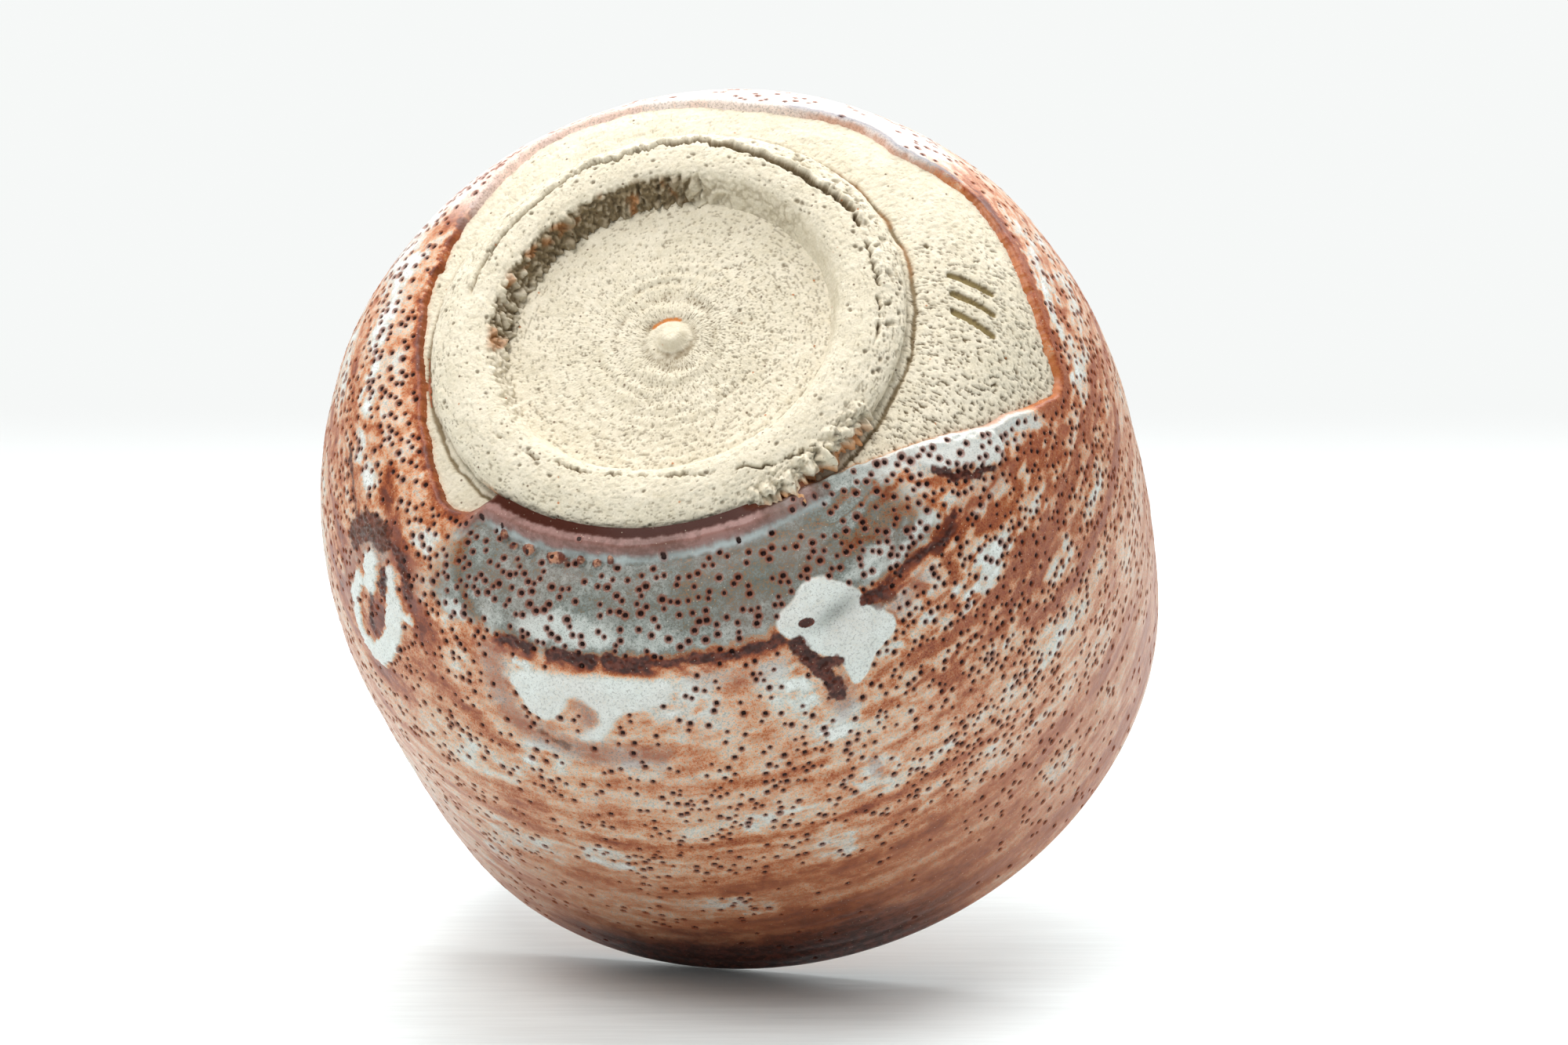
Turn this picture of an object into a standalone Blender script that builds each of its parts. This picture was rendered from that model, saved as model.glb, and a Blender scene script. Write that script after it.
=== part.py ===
"""Matcha bowl: a thrown stoneware body on a turned foot ring, with a thick glaze coat outside and another inside.

Metres, +Z up. The origin is the centre of the foot ring's resting face, and the bowl stands upright on it.
Every piece is turned about Z. The outer glaze is then cut back to the line where the bare clay starts.
"""

import math

import bmesh
import bpy

MM = 0.001

# Driving dimensions, in millimetres.
HEIGHT = 86.0
BELLY_RADIUS = 60.5
BELLY_HEIGHT = 51.0
BELLY_DROP = 59.0  # how far below the belly the swelling curve would close on the axis
BELLY_FULLNESS = 2.4  # 2 is an ellipse, and more is squarer
LIP_PULL_IN = 1.9  # how much narrower the lip is than the belly
LIP_RADIUS = 2.3  # half the lip's thickness, glaze included
SHOULDER_HEIGHT = 13.0  # where the flat underside turns into the wall
UNDERSIDE_SLOPE = 0.2  # rise over run of the underside beside the foot

FLOOR_INSIDE = 12.0  # height of the tea pool's centre
POOL_RADIUS = 24.0
POOL_RISE = 1.6
INNER_BELLY_RADIUS = 54.6
INNER_BELLY_HEIGHT = 46.0
INNER_FULLNESS = 2.5

GLAZE = 0.8
GAP = 0.3  # between a coat and the clay that it covers

FOOT_JOIN_RADIUS = 35.3  # where the underside's glaze begins
FOOT_JOIN_HEIGHT = 4.0
FOOT_SEAT = 5.3  # the foot ring's top, and the floor of its recess
FOOT_SEAT_RADIUS = 33.9
NUB_RADIUS = 2.8
NUB_HEIGHT = 1.3

TURNS = 60  # facets round the axis
UNDERSIDE_STEPS = 4
WALL_STEPS = 10
LIP_STEPS = 3  # to the crown, and as many again down the other side
INNER_WALL_STEPS = 4
INNER_CURVE_STEPS = 9
POOL_STEPS = 3

# The glaze's lower edge seen from above, as (degrees from +X, radius in mm). Inside it the clay is bare.
# Under 35 mm the glaze runs right up to the foot ring.
GLAZE_LINE = [
    (3, 36.4), (25, 36.7), (38, 37.4), (55, 39.6), (72, 43.4), (90, 45.0), (112, 43.0), (128, 43.2),
    (140, 45.2), (151, 44.6), (163, 47.4), (176, 50.2), (190, 51.2), (204, 53.2), (212, 51.0), (221, 45.0),
    (230, 40.6), (242, 37.6), (251, 34.0), (270, 33.0), (300, 33.0), (327, 33.6), (337, 37.0), (345, 39.4),
    (354, 37.4),
]


def clear_scene():
    for obj in list(bpy.data.objects):
        bpy.data.objects.remove(obj)


def collection(name):
    made = bpy.data.collections.new(name)
    bpy.context.scene.collection.children.link(made)
    return made


def material(name, colour, roughness):
    made = bpy.data.materials.new(name)
    made.use_nodes = True
    shader = made.node_tree.nodes["Principled BSDF"]
    shader.inputs["Base Color"].default_value = (*colour, 1.0)
    shader.inputs["Roughness"].default_value = roughness
    shader.inputs["Metallic"].default_value = 0.0
    return made


# Profiles are lists of (radius, height) in millimetres.

def wall_radius(height):
    """Radius of the glazed outside at this height, above the shoulder."""
    if height < BELLY_HEIGHT:
        drop = (BELLY_HEIGHT - height) / BELLY_DROP
        return BELLY_RADIUS * (1 - drop**BELLY_FULLNESS) ** (1 / BELLY_FULLNESS)
    rise = (height - BELLY_HEIGHT) / (HEIGHT - BELLY_HEIGHT)
    return BELLY_RADIUS - LIP_PULL_IN * rise**2


def hermite(start, end, start_slope, end_slope, steps):
    """Points of the cubic between two (radius, height) points, with the height's slope given at both."""
    run = end[0] - start[0]
    points = []
    for i in range(steps):
        t = i / steps
        height = (
            (2 * t**3 - 3 * t**2 + 1) * start[1]
            + (t**3 - 2 * t**2 + t) * run * start_slope
            + (3 * t**2 - 2 * t**3) * end[1]
            + (t**3 - t**2) * run * end_slope
        )
        points.append((start[0] + run * t, height))
    return points


def outside_curve():
    """The glazed outside, from beside the foot up to the lip's outer edge."""
    shoulder = (wall_radius(SHOULDER_HEIGHT), SHOULDER_HEIGHT)
    shoulder_slope = 1 / (wall_radius(SHOULDER_HEIGHT + 0.5) - wall_radius(SHOULDER_HEIGHT - 0.5))
    join = (FOOT_JOIN_RADIUS, FOOT_JOIN_HEIGHT)
    points = hermite(join, shoulder, UNDERSIDE_SLOPE, shoulder_slope, UNDERSIDE_STEPS)
    top = HEIGHT - LIP_RADIUS
    for i in range(WALL_STEPS + 1):
        height = SHOULDER_HEIGHT + (top - SHOULDER_HEIGHT) * (i / WALL_STEPS) ** 1.5
        points.append((wall_radius(height), height))
    return points


def lip_curve(outer_radius):
    """The rounded lip, from its outer edge over the crown to its inner edge, in two halves a gap apart."""
    half_gap = 0.5 * GAP / LIP_RADIUS
    quarter = 0.5 * math.pi
    outer_angles = [quarter * i / LIP_STEPS for i in range(1, LIP_STEPS)] + [quarter - half_gap]
    inner_angles = [math.pi - angle for angle in reversed(outer_angles)]
    halves = []
    for angles in (outer_angles, inner_angles):
        halves.append([
            (outer_radius - LIP_RADIUS * (1 - math.cos(angle)), HEIGHT - LIP_RADIUS * (1 - math.sin(angle)))
            for angle in angles
        ])
    return halves


def inside_curve(lip_inner_radius):
    """The glazed inside, from the lip down the wall and across the tea pool to the axis."""
    top = HEIGHT - LIP_RADIUS
    points = []
    for i in range(INNER_WALL_STEPS):
        height = top + (INNER_BELLY_HEIGHT - top) * i / INNER_WALL_STEPS
        share = math.sin(0.5 * math.pi * i / INNER_WALL_STEPS)
        radius = lip_inner_radius + (INNER_BELLY_RADIUS - lip_inner_radius) * share
        points.append((radius, height))
    pool_edge = FLOOR_INSIDE + POOL_RISE
    squareness = 2 / INNER_FULLNESS
    for i in range(INNER_CURVE_STEPS + 1):
        angle = 0.5 * math.pi * i / INNER_CURVE_STEPS
        radius = POOL_RADIUS + (INNER_BELLY_RADIUS - POOL_RADIUS) * max(0, math.cos(angle)) ** squareness
        height = INNER_BELLY_HEIGHT + (pool_edge - INNER_BELLY_HEIGHT) * math.sin(angle) ** squareness
        points.append((radius, height))
    for i in range(1, POOL_STEPS + 1):
        share = 1 - i / POOL_STEPS
        points.append((POOL_RADIUS * share, FLOOR_INSIDE + POOL_RISE * share**2))
    return points


def extended(end, neighbour):
    """The point that carries a curve straight on past its end."""
    return 2 * end[0] - neighbour[0], 2 * end[1] - neighbour[1]


def sunk(points, depth):
    """The same curve moved this far into the clay, which lies on its left."""
    padded = [extended(points[0], points[1]), *points, extended(points[-1], points[-2])]
    moved = []
    for before, (radius, height), after in zip(padded, points, padded[2:]):
        back = radius - before[0], height - before[1]
        ahead = after[0] - radius, after[1] - height
        # Weighting each chord by the other's squared length gives the true tangent on any circular arc.
        back_weight, ahead_weight = math.hypot(*ahead) ** 2, math.hypot(*back) ** 2
        run = back[0] * back_weight + ahead[0] * ahead_weight
        rise = back[1] * back_weight + ahead[1] * ahead_weight
        length = math.hypot(run, rise)
        moved_radius = 0.0 if radius == 0 else radius - depth * rise / length
        moved.append((moved_radius, height + depth * run / length))
    return moved


def turned(name, profile, look, home, closed=True):
    """A solid turned about Z. The profile runs down its outer side; if closed, it joins its own start."""
    mesh = bpy.data.meshes.new(name)
    count = len(profile)
    edges = [(i, i + 1) for i in range(count - 1)]
    if closed:
        edges.append((count - 1, 0))
    mesh.from_pydata([(radius * MM, 0, height * MM) for radius, height in profile], edges, [])
    obj = bpy.data.objects.new(name, mesh)
    home.objects.link(obj)
    mesh.materials.append(look)
    screw = obj.modifiers.new("Turn", "SCREW")
    screw.axis = "Z"
    screw.angle = 2 * math.pi
    screw.steps = TURNS
    screw.render_steps = TURNS
    screw.use_merge_vertices = True
    screw.merge_threshold = 0.00001
    screw.use_smooth_shade = True
    return obj


def bare_clay_cutter(home):
    """An upright prism over the clay that carries no glaze."""
    curve = bpy.data.curves.new("bare_clay_outline", "CURVE")
    curve.dimensions = "2D"
    curve.fill_mode = "BOTH"
    curve.extrude = 12 * MM
    curve.resolution_u = 4
    spline = curve.splines.new("BEZIER")
    spline.bezier_points.add(len(GLAZE_LINE) - 1)
    spline.use_cyclic_u = True
    for point, (degrees, radius) in zip(spline.bezier_points, GLAZE_LINE):
        angle = math.radians(degrees)
        point.co = (radius * MM * math.cos(angle), radius * MM * math.sin(angle), 0)
        point.handle_left_type = point.handle_right_type = "AUTO"
    outline = bpy.data.objects.new("bare_clay_outline", curve)
    home.objects.link(outline)
    outline.location.z = 8 * MM
    bpy.context.view_layer.update()
    graph = bpy.context.evaluated_depsgraph_get()
    mesh = bpy.data.meshes.new_from_object(outline.evaluated_get(graph))
    shape = bmesh.new()
    shape.from_mesh(mesh)
    bmesh.ops.remove_doubles(shape, verts=shape.verts, dist=0.000001)
    bmesh.ops.recalc_face_normals(shape, faces=shape.faces)
    shape.to_mesh(mesh)
    shape.free()
    cutter = bpy.data.objects.new("bare_clay_cutter", mesh)
    cutter.matrix_world = outline.matrix_world
    home.objects.link(cutter)
    bpy.data.objects.remove(outline)
    cutter.hide_render = True
    cutter.display_type = "WIRE"
    return cutter


def clay_body(clay, look, home):
    """The thrown wall and floor, with the seat for the foot ring and the nub left by the turning tool."""
    underside = [
        (0.0, FOOT_SEAT - NUB_HEIGHT),
        (0.55 * NUB_RADIUS, FOOT_SEAT - 0.85 * NUB_HEIGHT),
        (NUB_RADIUS, FOOT_SEAT - 0.1),
        (2 * NUB_RADIUS, FOOT_SEAT),
        (FOOT_SEAT_RADIUS, FOOT_SEAT),
    ]
    return turned("clay_body", list(reversed(underside + clay)), look, home, closed=False)


def foot_ring(look, home):
    """The foot: a flat resting face, a bevel that overhangs the underside, and the recess's leaning inner wall."""
    profile = [
        (FOOT_SEAT_RADIUS - 0.5, FOOT_SEAT - GAP),
        (FOOT_SEAT_RADIUS - 0.2, 4.1),
        (34.6, 3.4),
        (34.8, 2.9),
        (34.3, 2.2),
        (31.0, 0.5),
        (30.3, 0.1),
        (29.8, 0.0),
        (26.3, 0.0),
        (25.6, 0.25),
        (25.1, 0.9),
        (23.8, FOOT_SEAT - GAP),
    ]
    return turned("foot_ring", profile, look, home)


def glaze_coat(name, surface, underside, look, home):
    """A coat between its visible surface and its underside, both listed from the foot's end onwards."""
    reaches_axis = surface[-1][0] == 0
    return turned(name, list(reversed(surface)) + underside, look, home, closed=not reaches_axis)


def build():
    clear_scene()
    bowl = collection("matcha_bowl")
    cutters = collection("cutters")
    clay_look = material("bare_stoneware", (0.66, 0.60, 0.46), 0.9)
    glaze_look = material("mottled_glaze", (0.48, 0.26, 0.17), 0.35)

    wall = outside_curve()
    outer_lip, inner_lip = lip_curve(wall[-1][0])
    skin = wall + outer_lip + inner_lip + inside_curve(wall[-1][0] - 2 * LIP_RADIUS)
    under_glaze = sunk(skin, GLAZE)
    crown = len(wall) + len(outer_lip)

    clay_body(sunk(skin, GLAZE + GAP), clay_look, bowl)
    foot_ring(clay_look, bowl)
    glaze_coat("inner_glaze", skin[crown:], under_glaze[crown:], glaze_look, bowl)
    outer = glaze_coat("outer_glaze", skin[:crown], under_glaze[:crown], glaze_look, bowl)
    cut = outer.modifiers.new("BareClay", "BOOLEAN")
    cut.operation = "DIFFERENCE"
    cut.solver = "EXACT"
    cut.object = bare_clay_cutter(cutters)


build()
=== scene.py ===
"""Looks for the matcha bowl: a mottled, pitted glaze over torn and turned stoneware, tipped over on its rim.

The bowl stands upright in this frame. The table is the tilted plane that its rim rests on. It is one-sided.
Lengths are in millimetres until they are given to Blender, and in metres for the table and lights. Places on
the bowl are (degrees round from +X, millimetres).
"""

import math

import bmesh
import bpy
import numpy as np
from mathutils import Matrix, Vector


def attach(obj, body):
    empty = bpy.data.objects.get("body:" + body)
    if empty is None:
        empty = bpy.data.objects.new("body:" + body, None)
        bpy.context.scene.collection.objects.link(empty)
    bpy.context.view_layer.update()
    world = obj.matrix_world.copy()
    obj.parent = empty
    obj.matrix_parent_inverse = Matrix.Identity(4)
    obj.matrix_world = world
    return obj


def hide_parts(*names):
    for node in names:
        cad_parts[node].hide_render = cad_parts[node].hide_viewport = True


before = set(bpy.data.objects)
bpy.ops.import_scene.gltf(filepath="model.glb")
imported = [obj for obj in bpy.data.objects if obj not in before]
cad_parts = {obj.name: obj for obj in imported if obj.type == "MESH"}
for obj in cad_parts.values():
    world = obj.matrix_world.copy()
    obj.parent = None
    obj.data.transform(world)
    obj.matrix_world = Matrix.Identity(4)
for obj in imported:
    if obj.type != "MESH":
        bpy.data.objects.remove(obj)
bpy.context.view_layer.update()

MM = 0.001
COARSE = 1.0  # grids are this many times coarser while trying things

# The turned shape, as in the CAD.
HEIGHT = 86.0
BELLY_RADIUS, BELLY_HEIGHT, BELLY_DROP, BELLY_FULLNESS = 60.5, 51.0, 59.0, 2.4
LIP_PULL_IN, LIP_RADIUS = 1.9, 2.3
SHOULDER_HEIGHT, UNDERSIDE_SLOPE = 13.0, 0.2
FLOOR_INSIDE, POOL_RADIUS, POOL_RISE = 12.0, 24.0, 1.6
INNER_BELLY_RADIUS, INNER_BELLY_HEIGHT, INNER_FULLNESS = 54.6, 46.0, 2.5
FOOT_JOIN_RADIUS, FOOT_JOIN_HEIGHT = 35.3, 4.0
FOOT_SEAT = 5.3
COAT = 1.1  # from the glaze's surface down to the clay

ROUND = 55.0  # a typical radius, for patterns that run round the bowl

# The grids' row spacing in mm, and their columns round the axis.
GLAZE_GAP, GLAZE_COLUMNS = 0.22, 1680
INSIDE_GAP, INSIDE_COLUMNS = 0.5, 760
CLAY_COLUMNS = 1300

# The outer glaze's relief. Pits are wider low on the wall.
PIT_TRIES, PIT_SPACING, LOW_ON_WALL = 30000, 0.9, 15
ROLL_SWELL, BUMP_SWELL = 2.1, 1.1

# Where the glaze ends and the bare clay starts, as (degrees, radius).
GLAZE_LINE = [
    (2, 36.5), (12, 35.9), (22, 36.6), (35, 38.0), (47, 39.0), (57, 40.6), (66, 42.2), (72, 43.8), (78, 45.8),
    (90, 46.0), (98, 45.6), (108, 44.0), (121, 42.5), (131, 43.1), (140, 44.6), (146, 45.4), (152, 44.4),
    (158, 46.0), (164, 48.0), (173, 49.8), (182, 50.4), (190, 51.4), (196, 52.4), (202, 53.8), (205, 54.2),
    (209, 52.2), (214, 49.8), (219, 47.6), (224, 44.2), (229, 41.6), (234, 39.4), (239, 37.4), (246, 35.6),
    (256, 34.9), (270, 34.7), (300, 34.7), (322, 34.8), (330, 35.2), (334, 38.4), (338, 39.8), (343, 39.4),
    (350, 38.0), (356, 37.0),
]


def srgb(red, green, blue):
    """A colour given as screen values from 0 to 255, as the linear values that shaders take."""
    parts = [value / 255 for value in (red, green, blue)]
    return [p / 12.92 if p <= 0.04045 else ((p + 0.055) / 1.055) ** 2.4 for p in parts]


# ---------------------------------------------------------------- noise and shaping


class Noise:
    """Smooth random values from about -1 to 1 over 3-D points, the same on every run."""

    def __init__(self, seed):
        rng = np.random.default_rng(seed)
        self.order = np.tile(rng.permutation(256), 2)
        directions = rng.normal(size=(3, 256))
        self.directions = (directions / np.linalg.norm(directions, axis=0)).astype(np.float32)

    def __call__(self, points):
        cell = np.floor(points).astype(np.int32)
        inside = (points - cell).astype(np.float32)
        ease = inside**3 * (inside * (inside * 6 - 15) + 10)
        near = [cell[..., axis] & 255 for axis in range(3)]
        far = [(place + 1) & 255 for place in near]
        total = 0.0
        for corner in np.ndindex(2, 2, 2):
            x, y, z = (far[axis] if corner[axis] else near[axis] for axis in range(3))
            pick = self.order[self.order[self.order[x] + y] + z]
            dot, share = 0.0, 1.0
            for axis in range(3):
                dot = dot + (inside[..., axis] - corner[axis]) * self.directions[axis][pick]
                share = share * (ease[..., axis] if corner[axis] else 1 - ease[..., axis])
            total = total + dot * share
        return 1.6 * total


def rough(points, seed, octaves=4, gain=0.5):
    """Noise summed over octaves, each half the size of the last."""
    total, weight = 0.0, 1.0
    for octave in range(octaves):
        total = total + weight * Noise(seed + octave)(points * 2.0**octave)
        weight *= gain
    return total


def step(low, high, value):
    """0 below low, 1 above high, and smooth between. low may be the larger, for a falling step."""
    share = np.clip((value - low) / (high - low), 0, 1)
    return share * share * (3 - 2 * share)


def hill(offset, width):
    """1 where offset is 0, fading smoothly to nothing a few widths away."""
    return np.exp(-((offset / width) ** 2))


def union(*shapes):
    return np.maximum.reduce(shapes)


def apart(degrees, centre):
    """Degrees from centre, wrapped to -180..180."""
    return (degrees - centre + 180) % 360 - 180


def between(degrees, start, end, soft=6.0):
    """1 for degrees from start to end going round, fading to 0 over soft degrees at each side."""
    half = ((end - start) % 360) / 2
    return step(half + soft, half, np.abs(apart(degrees, start + half)))


def on_circle(degrees, waves):
    """Noise places for a value that changes about this many times round the bowl."""
    angle = np.radians(degrees)
    return np.stack([np.cos(angle), np.sin(angle), 0 * angle], axis=-1) * waves / math.tau


# ---------------------------------------------------------------- turned grids


def wall_radius(height):
    if height < BELLY_HEIGHT:
        drop = (BELLY_HEIGHT - height) / BELLY_DROP
        return BELLY_RADIUS * (1 - drop**BELLY_FULLNESS) ** (1 / BELLY_FULLNESS)
    rise = (height - BELLY_HEIGHT) / (HEIGHT - BELLY_HEIGHT)
    return BELLY_RADIUS - LIP_PULL_IN * rise**2


def underside_height(radius):
    """Height of the underside, a cubic from the foot's edge to the wall's shoulder."""
    end_radius = wall_radius(SHOULDER_HEIGHT)
    end_slope = 1 / (wall_radius(SHOULDER_HEIGHT + 0.5) - wall_radius(SHOULDER_HEIGHT - 0.5))
    run = end_radius - FOOT_JOIN_RADIUS
    t = (radius - FOOT_JOIN_RADIUS) / run
    if t < 0:
        return FOOT_JOIN_HEIGHT + UNDERSIDE_SLOPE * run * t
    return (
        (2 * t**3 - 3 * t**2 + 1) * FOOT_JOIN_HEIGHT
        + (t**3 - 2 * t**2 + t) * run * UNDERSIDE_SLOPE
        + (3 * t**2 - 2 * t**3) * SHOULDER_HEIGHT
        + (t**3 - t**2) * run * end_slope
    )


def outside_line():
    """The glazed outside, from under the foot's edge to the lip's crown."""
    shoulder = wall_radius(SHOULDER_HEIGHT)
    points = [(r, underside_height(r)) for r in np.linspace(33.4, shoulder, 60)[:-1]]
    points += [(wall_radius(z), z) for z in np.linspace(SHOULDER_HEIGHT, HEIGHT - LIP_RADIUS, 160)]
    edge = points[-1][0]
    for angle in np.linspace(0, math.pi / 2, 16)[1:]:
        inward, down = 1 - math.cos(angle), 1 - math.sin(angle)
        points.append((edge - LIP_RADIUS * inward, HEIGHT - LIP_RADIUS * down))
    return points


def inside_line():
    """The glazed inside, from a little outside the lip's crown to near the axis."""
    top = HEIGHT - LIP_RADIUS
    edge = wall_radius(top)
    points = []
    for angle in np.linspace(math.pi * 0.4, math.pi, 24)[:-1]:
        points.append((edge - LIP_RADIUS * (1 - math.cos(angle)), top + LIP_RADIUS * math.sin(angle)))
    lip_inner = edge - 2 * LIP_RADIUS
    for share in np.linspace(0, 1, 30)[:-1]:
        radius = lip_inner + (INNER_BELLY_RADIUS - lip_inner) * math.sin(0.5 * math.pi * share)
        points.append((radius, top + (INNER_BELLY_HEIGHT - top) * share))
    pool_edge = FLOOR_INSIDE + POOL_RISE
    power = 2 / INNER_FULLNESS
    for angle in np.linspace(0, math.pi / 2, 60):
        radius = POOL_RADIUS + (INNER_BELLY_RADIUS - POOL_RADIUS) * max(0.0, math.cos(angle)) ** power
        height = INNER_BELLY_HEIGHT + (pool_edge - INNER_BELLY_HEIGHT) * math.sin(angle) ** power
        points.append((radius, height))
    for share in np.linspace(1, 0.004, 30)[1:]:
        points.append((POOL_RADIUS * share, FLOOR_INSIDE + POOL_RISE * share**2))
    return points


def spaced(points, gap):
    """The same line with its points this far apart."""
    points = np.array(points, float)
    length = np.concatenate([[0], np.cumsum(np.hypot(*np.diff(points, axis=0).T))])
    marks = np.linspace(0, length[-1], max(2, int(length[-1] / (gap * COARSE))))
    return np.stack([np.interp(marks, length, points[:, i]) for i in range(2)], axis=1)


def rightward(line):
    """Unit normals on the right of a line's direction, which point out of the clay on all these lines."""
    ahead = np.gradient(line, axis=0)
    ahead /= np.hypot(*ahead.T)[:, None]
    return np.stack([ahead[:, 1], -ahead[:, 0]], axis=1)


class Lathe:
    """A fine grid on a turned surface. Rows follow the line, and columns run round the axis."""

    def __init__(self, line, columns):
        self.line = line
        self.normal = rightward(line)
        count = int(columns / COARSE)
        self.degrees = np.arange(count) * 360 / count
        self.along = np.concatenate([[0], np.cumsum(np.hypot(*np.diff(line, axis=0).T))])
        self.radius, self.height = line[:, 0], line[:, 1]
        angle = np.radians(self.degrees)
        self.cos, self.sin = np.cos(angle), np.sin(angle)
        self.shape = (len(line), count)
        self.DEG, self.ALONG = np.meshgrid(self.degrees, self.along)
        self.RADIUS = np.repeat(self.radius[:, None], count, axis=1)
        self.Z = np.repeat(self.height[:, None], count, axis=1)

    def points(self, raised=0.0):
        """3-D points, raised along the surface's normal."""
        radius = self.radius[:, None] + self.normal[:, :1] * raised
        height = self.height[:, None] + self.normal[:, 1:] * raised + np.zeros(self.shape)
        return np.stack([radius * self.cos, radius * self.sin, height], axis=-1)

    def streaked(self, across, up, at_radius=ROUND):
        """Noise places for features this long round the bowl, at this radius, and this long up it."""
        rows = self.ALONG / up
        turn = at_radius / across
        return np.stack([turn * self.cos + 0 * rows, turn * self.sin + 0 * rows, rows], axis=-1)

    def climb(self, values, marks):
        """How far along the line each value is first reached, where marks rises along the line's start."""
        top = len(marks) if (np.diff(marks) >= 0).all() else int(np.argmax(np.diff(marks) < 0)) + 1
        return np.interp(values, marks[:top], self.along[:top])

    def at_height(self, height):
        return self.climb(height, self.height)

    def at_radius(self, radius):
        return self.climb(radius, self.radius)

    def spot(self, degrees, along, half_across, half_up, turn=0.0):
        """How far inside an oval each point is: 1 at its centre, 0 on its edge, negative outside."""
        across = np.radians(apart(self.DEG, degrees)) * self.RADIUS
        up = self.ALONG - along
        c, s = math.cos(math.radians(turn)), math.sin(math.radians(turn))
        return 1 - np.hypot((across * c + up * s) / half_across, (up * c - across * s) / half_up)

    def flat(self, places, reach):
        """The grid window this far around (degrees, height) places, and both laid flat in mm."""
        degrees, heights = np.array(places, float).T
        centre, along = degrees[0], self.at_height(heights)
        radius = np.interp(along, self.along, self.radius)
        turns = apart(degrees, centre)
        spots = np.stack([np.radians(turns) * radius, along], axis=-1)
        rows = np.flatnonzero((self.along > along.min() - reach) & (self.along < along.max() + reach))
        spread = math.degrees(reach / radius.min())
        turned = apart(self.degrees, centre)
        columns = np.flatnonzero((turned > turns.min() - spread) & (turned < turns.max() + spread))
        x = np.radians(turned[columns])[None, :] * self.radius[rows][:, None]
        y = self.along[rows][:, None] + 0 * x
        return np.ix_(rows, columns), np.stack([x, y], axis=-1), spots

    def mesh(self, name, points, kept=None, centre=None):
        """A mesh over the grid. kept drops faces. centre, "first" or "last", closes that row at the axis."""
        rows, columns = self.shape
        index = np.arange(rows * columns).reshape(rows, columns)
        low, high = index[:-1], index[1:]
        quads = np.stack([low, np.roll(low, -1, 1), np.roll(high, -1, 1), high], axis=-1).reshape(-1, 4)
        if kept is not None:
            quads = quads[kept.reshape(-1)[quads].any(axis=1)]
        corners, sizes = [quads.ravel()], [4] * len(quads)
        if centre:
            corners.append(index[0][::-1] if centre == "first" else index[-1])
            sizes.append(columns)
        corners = np.concatenate(corners).astype(np.int32)
        mesh = bpy.data.meshes.new(name)
        mesh.vertices.add(rows * columns)
        mesh.vertices.foreach_set("co", (points.reshape(-1) * MM).astype(np.float32))
        mesh.loops.add(len(corners))
        mesh.loops.foreach_set("vertex_index", corners)
        mesh.polygons.add(len(sizes))
        mesh.polygons.foreach_set("loop_start", np.concatenate([[0], np.cumsum(sizes)[:-1]]).astype(np.int32))
        mesh.update(calc_edges=True)
        mesh.validate()
        mesh.shade_smooth()
        obj = bpy.data.objects.new(name, mesh)
        bpy.context.scene.collection.objects.link(obj)
        return obj


def paint(obj, **masks):
    """Stores each grid of values on the mesh, by name, for the shaders to read."""
    for name, values in masks.items():
        attribute = obj.data.attributes.new(name, "FLOAT", "POINT")
        attribute.data.foreach_set("value", np.asarray(values, np.float32).ravel())


def trimmed(obj):
    """Drops the points that no face uses."""
    shape = bmesh.new()
    shape.from_mesh(obj.data)
    loose = [vert for vert in shape.verts if not vert.link_faces]
    bmesh.ops.delete(shape, geom=loose, context="VERTS")
    shape.to_mesh(obj.data)
    shape.free()


# ---------------------------------------------------------------- drawn shapes


def rounded(spots, closed):
    """The same chain of points with its corners cut off twice."""
    for _ in range(2):
        following = np.roll(spots, -1, axis=0) if closed else spots[1:]
        start = spots if closed else spots[:-1]
        cut = [0.75 * start + 0.25 * following, 0.25 * start + 0.75 * following]
        cut = np.stack(cut, axis=1).reshape(-1, 2)
        spots = cut if closed else np.concatenate([spots[:1], cut, spots[-1:]])
    return spots


def from_chain(points, spots):
    """Distance from each point to a chain of straight runs."""
    nearest = np.inf
    for start, end in zip(spots[:-1], spots[1:]):
        run = end - start
        share = np.clip(((points - start) @ run) / (run @ run), 0, 1)
        off = points - start - share[..., None] * run
        nearest = np.minimum(nearest, np.hypot(off[..., 0], off[..., 1]))
    return nearest


def within(points, spots):
    """True for points inside a closed outline."""
    x, y = points[..., 0], points[..., 1]
    inside = np.zeros(x.shape, bool)
    for (x0, y0), (x1, y1) in zip(spots, np.roll(spots, -1, axis=0)):
        if y0 != y1:
            inside ^= ((y0 > y) != (y1 > y)) & (x < (x1 - x0) * (y - y0) / (y1 - y0) + x0)
    return inside


def blot(lathe, outline, soft=0.3, torn=0.0):
    """A filled outline as a mask. torn shifts its edge, in mm, point by point."""
    window, points, spots = lathe.flat(outline, 4.0)
    spots = rounded(spots, True)
    away = from_chain(points, np.concatenate([spots, spots[:1]]))
    signed = np.where(within(points, spots), away, -away)
    mask = np.zeros(lathe.shape)
    mask[window] = step(-soft, soft, signed + (torn[window] if np.ndim(torn) else torn))
    return mask


def trail(lathe, places, width, soft=0.4, torn=0.0):
    """A brush stroke through the places as a mask."""
    window, points, spots = lathe.flat(places, width + 4.0)
    away = from_chain(points, rounded(spots, False))
    mask = np.zeros(lathe.shape)
    mask[window] = step(soft, -soft, away - width / 2 - (torn[window] if np.ndim(torn) else torn))
    return mask


# ---------------------------------------------------------------- pits and pores


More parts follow.
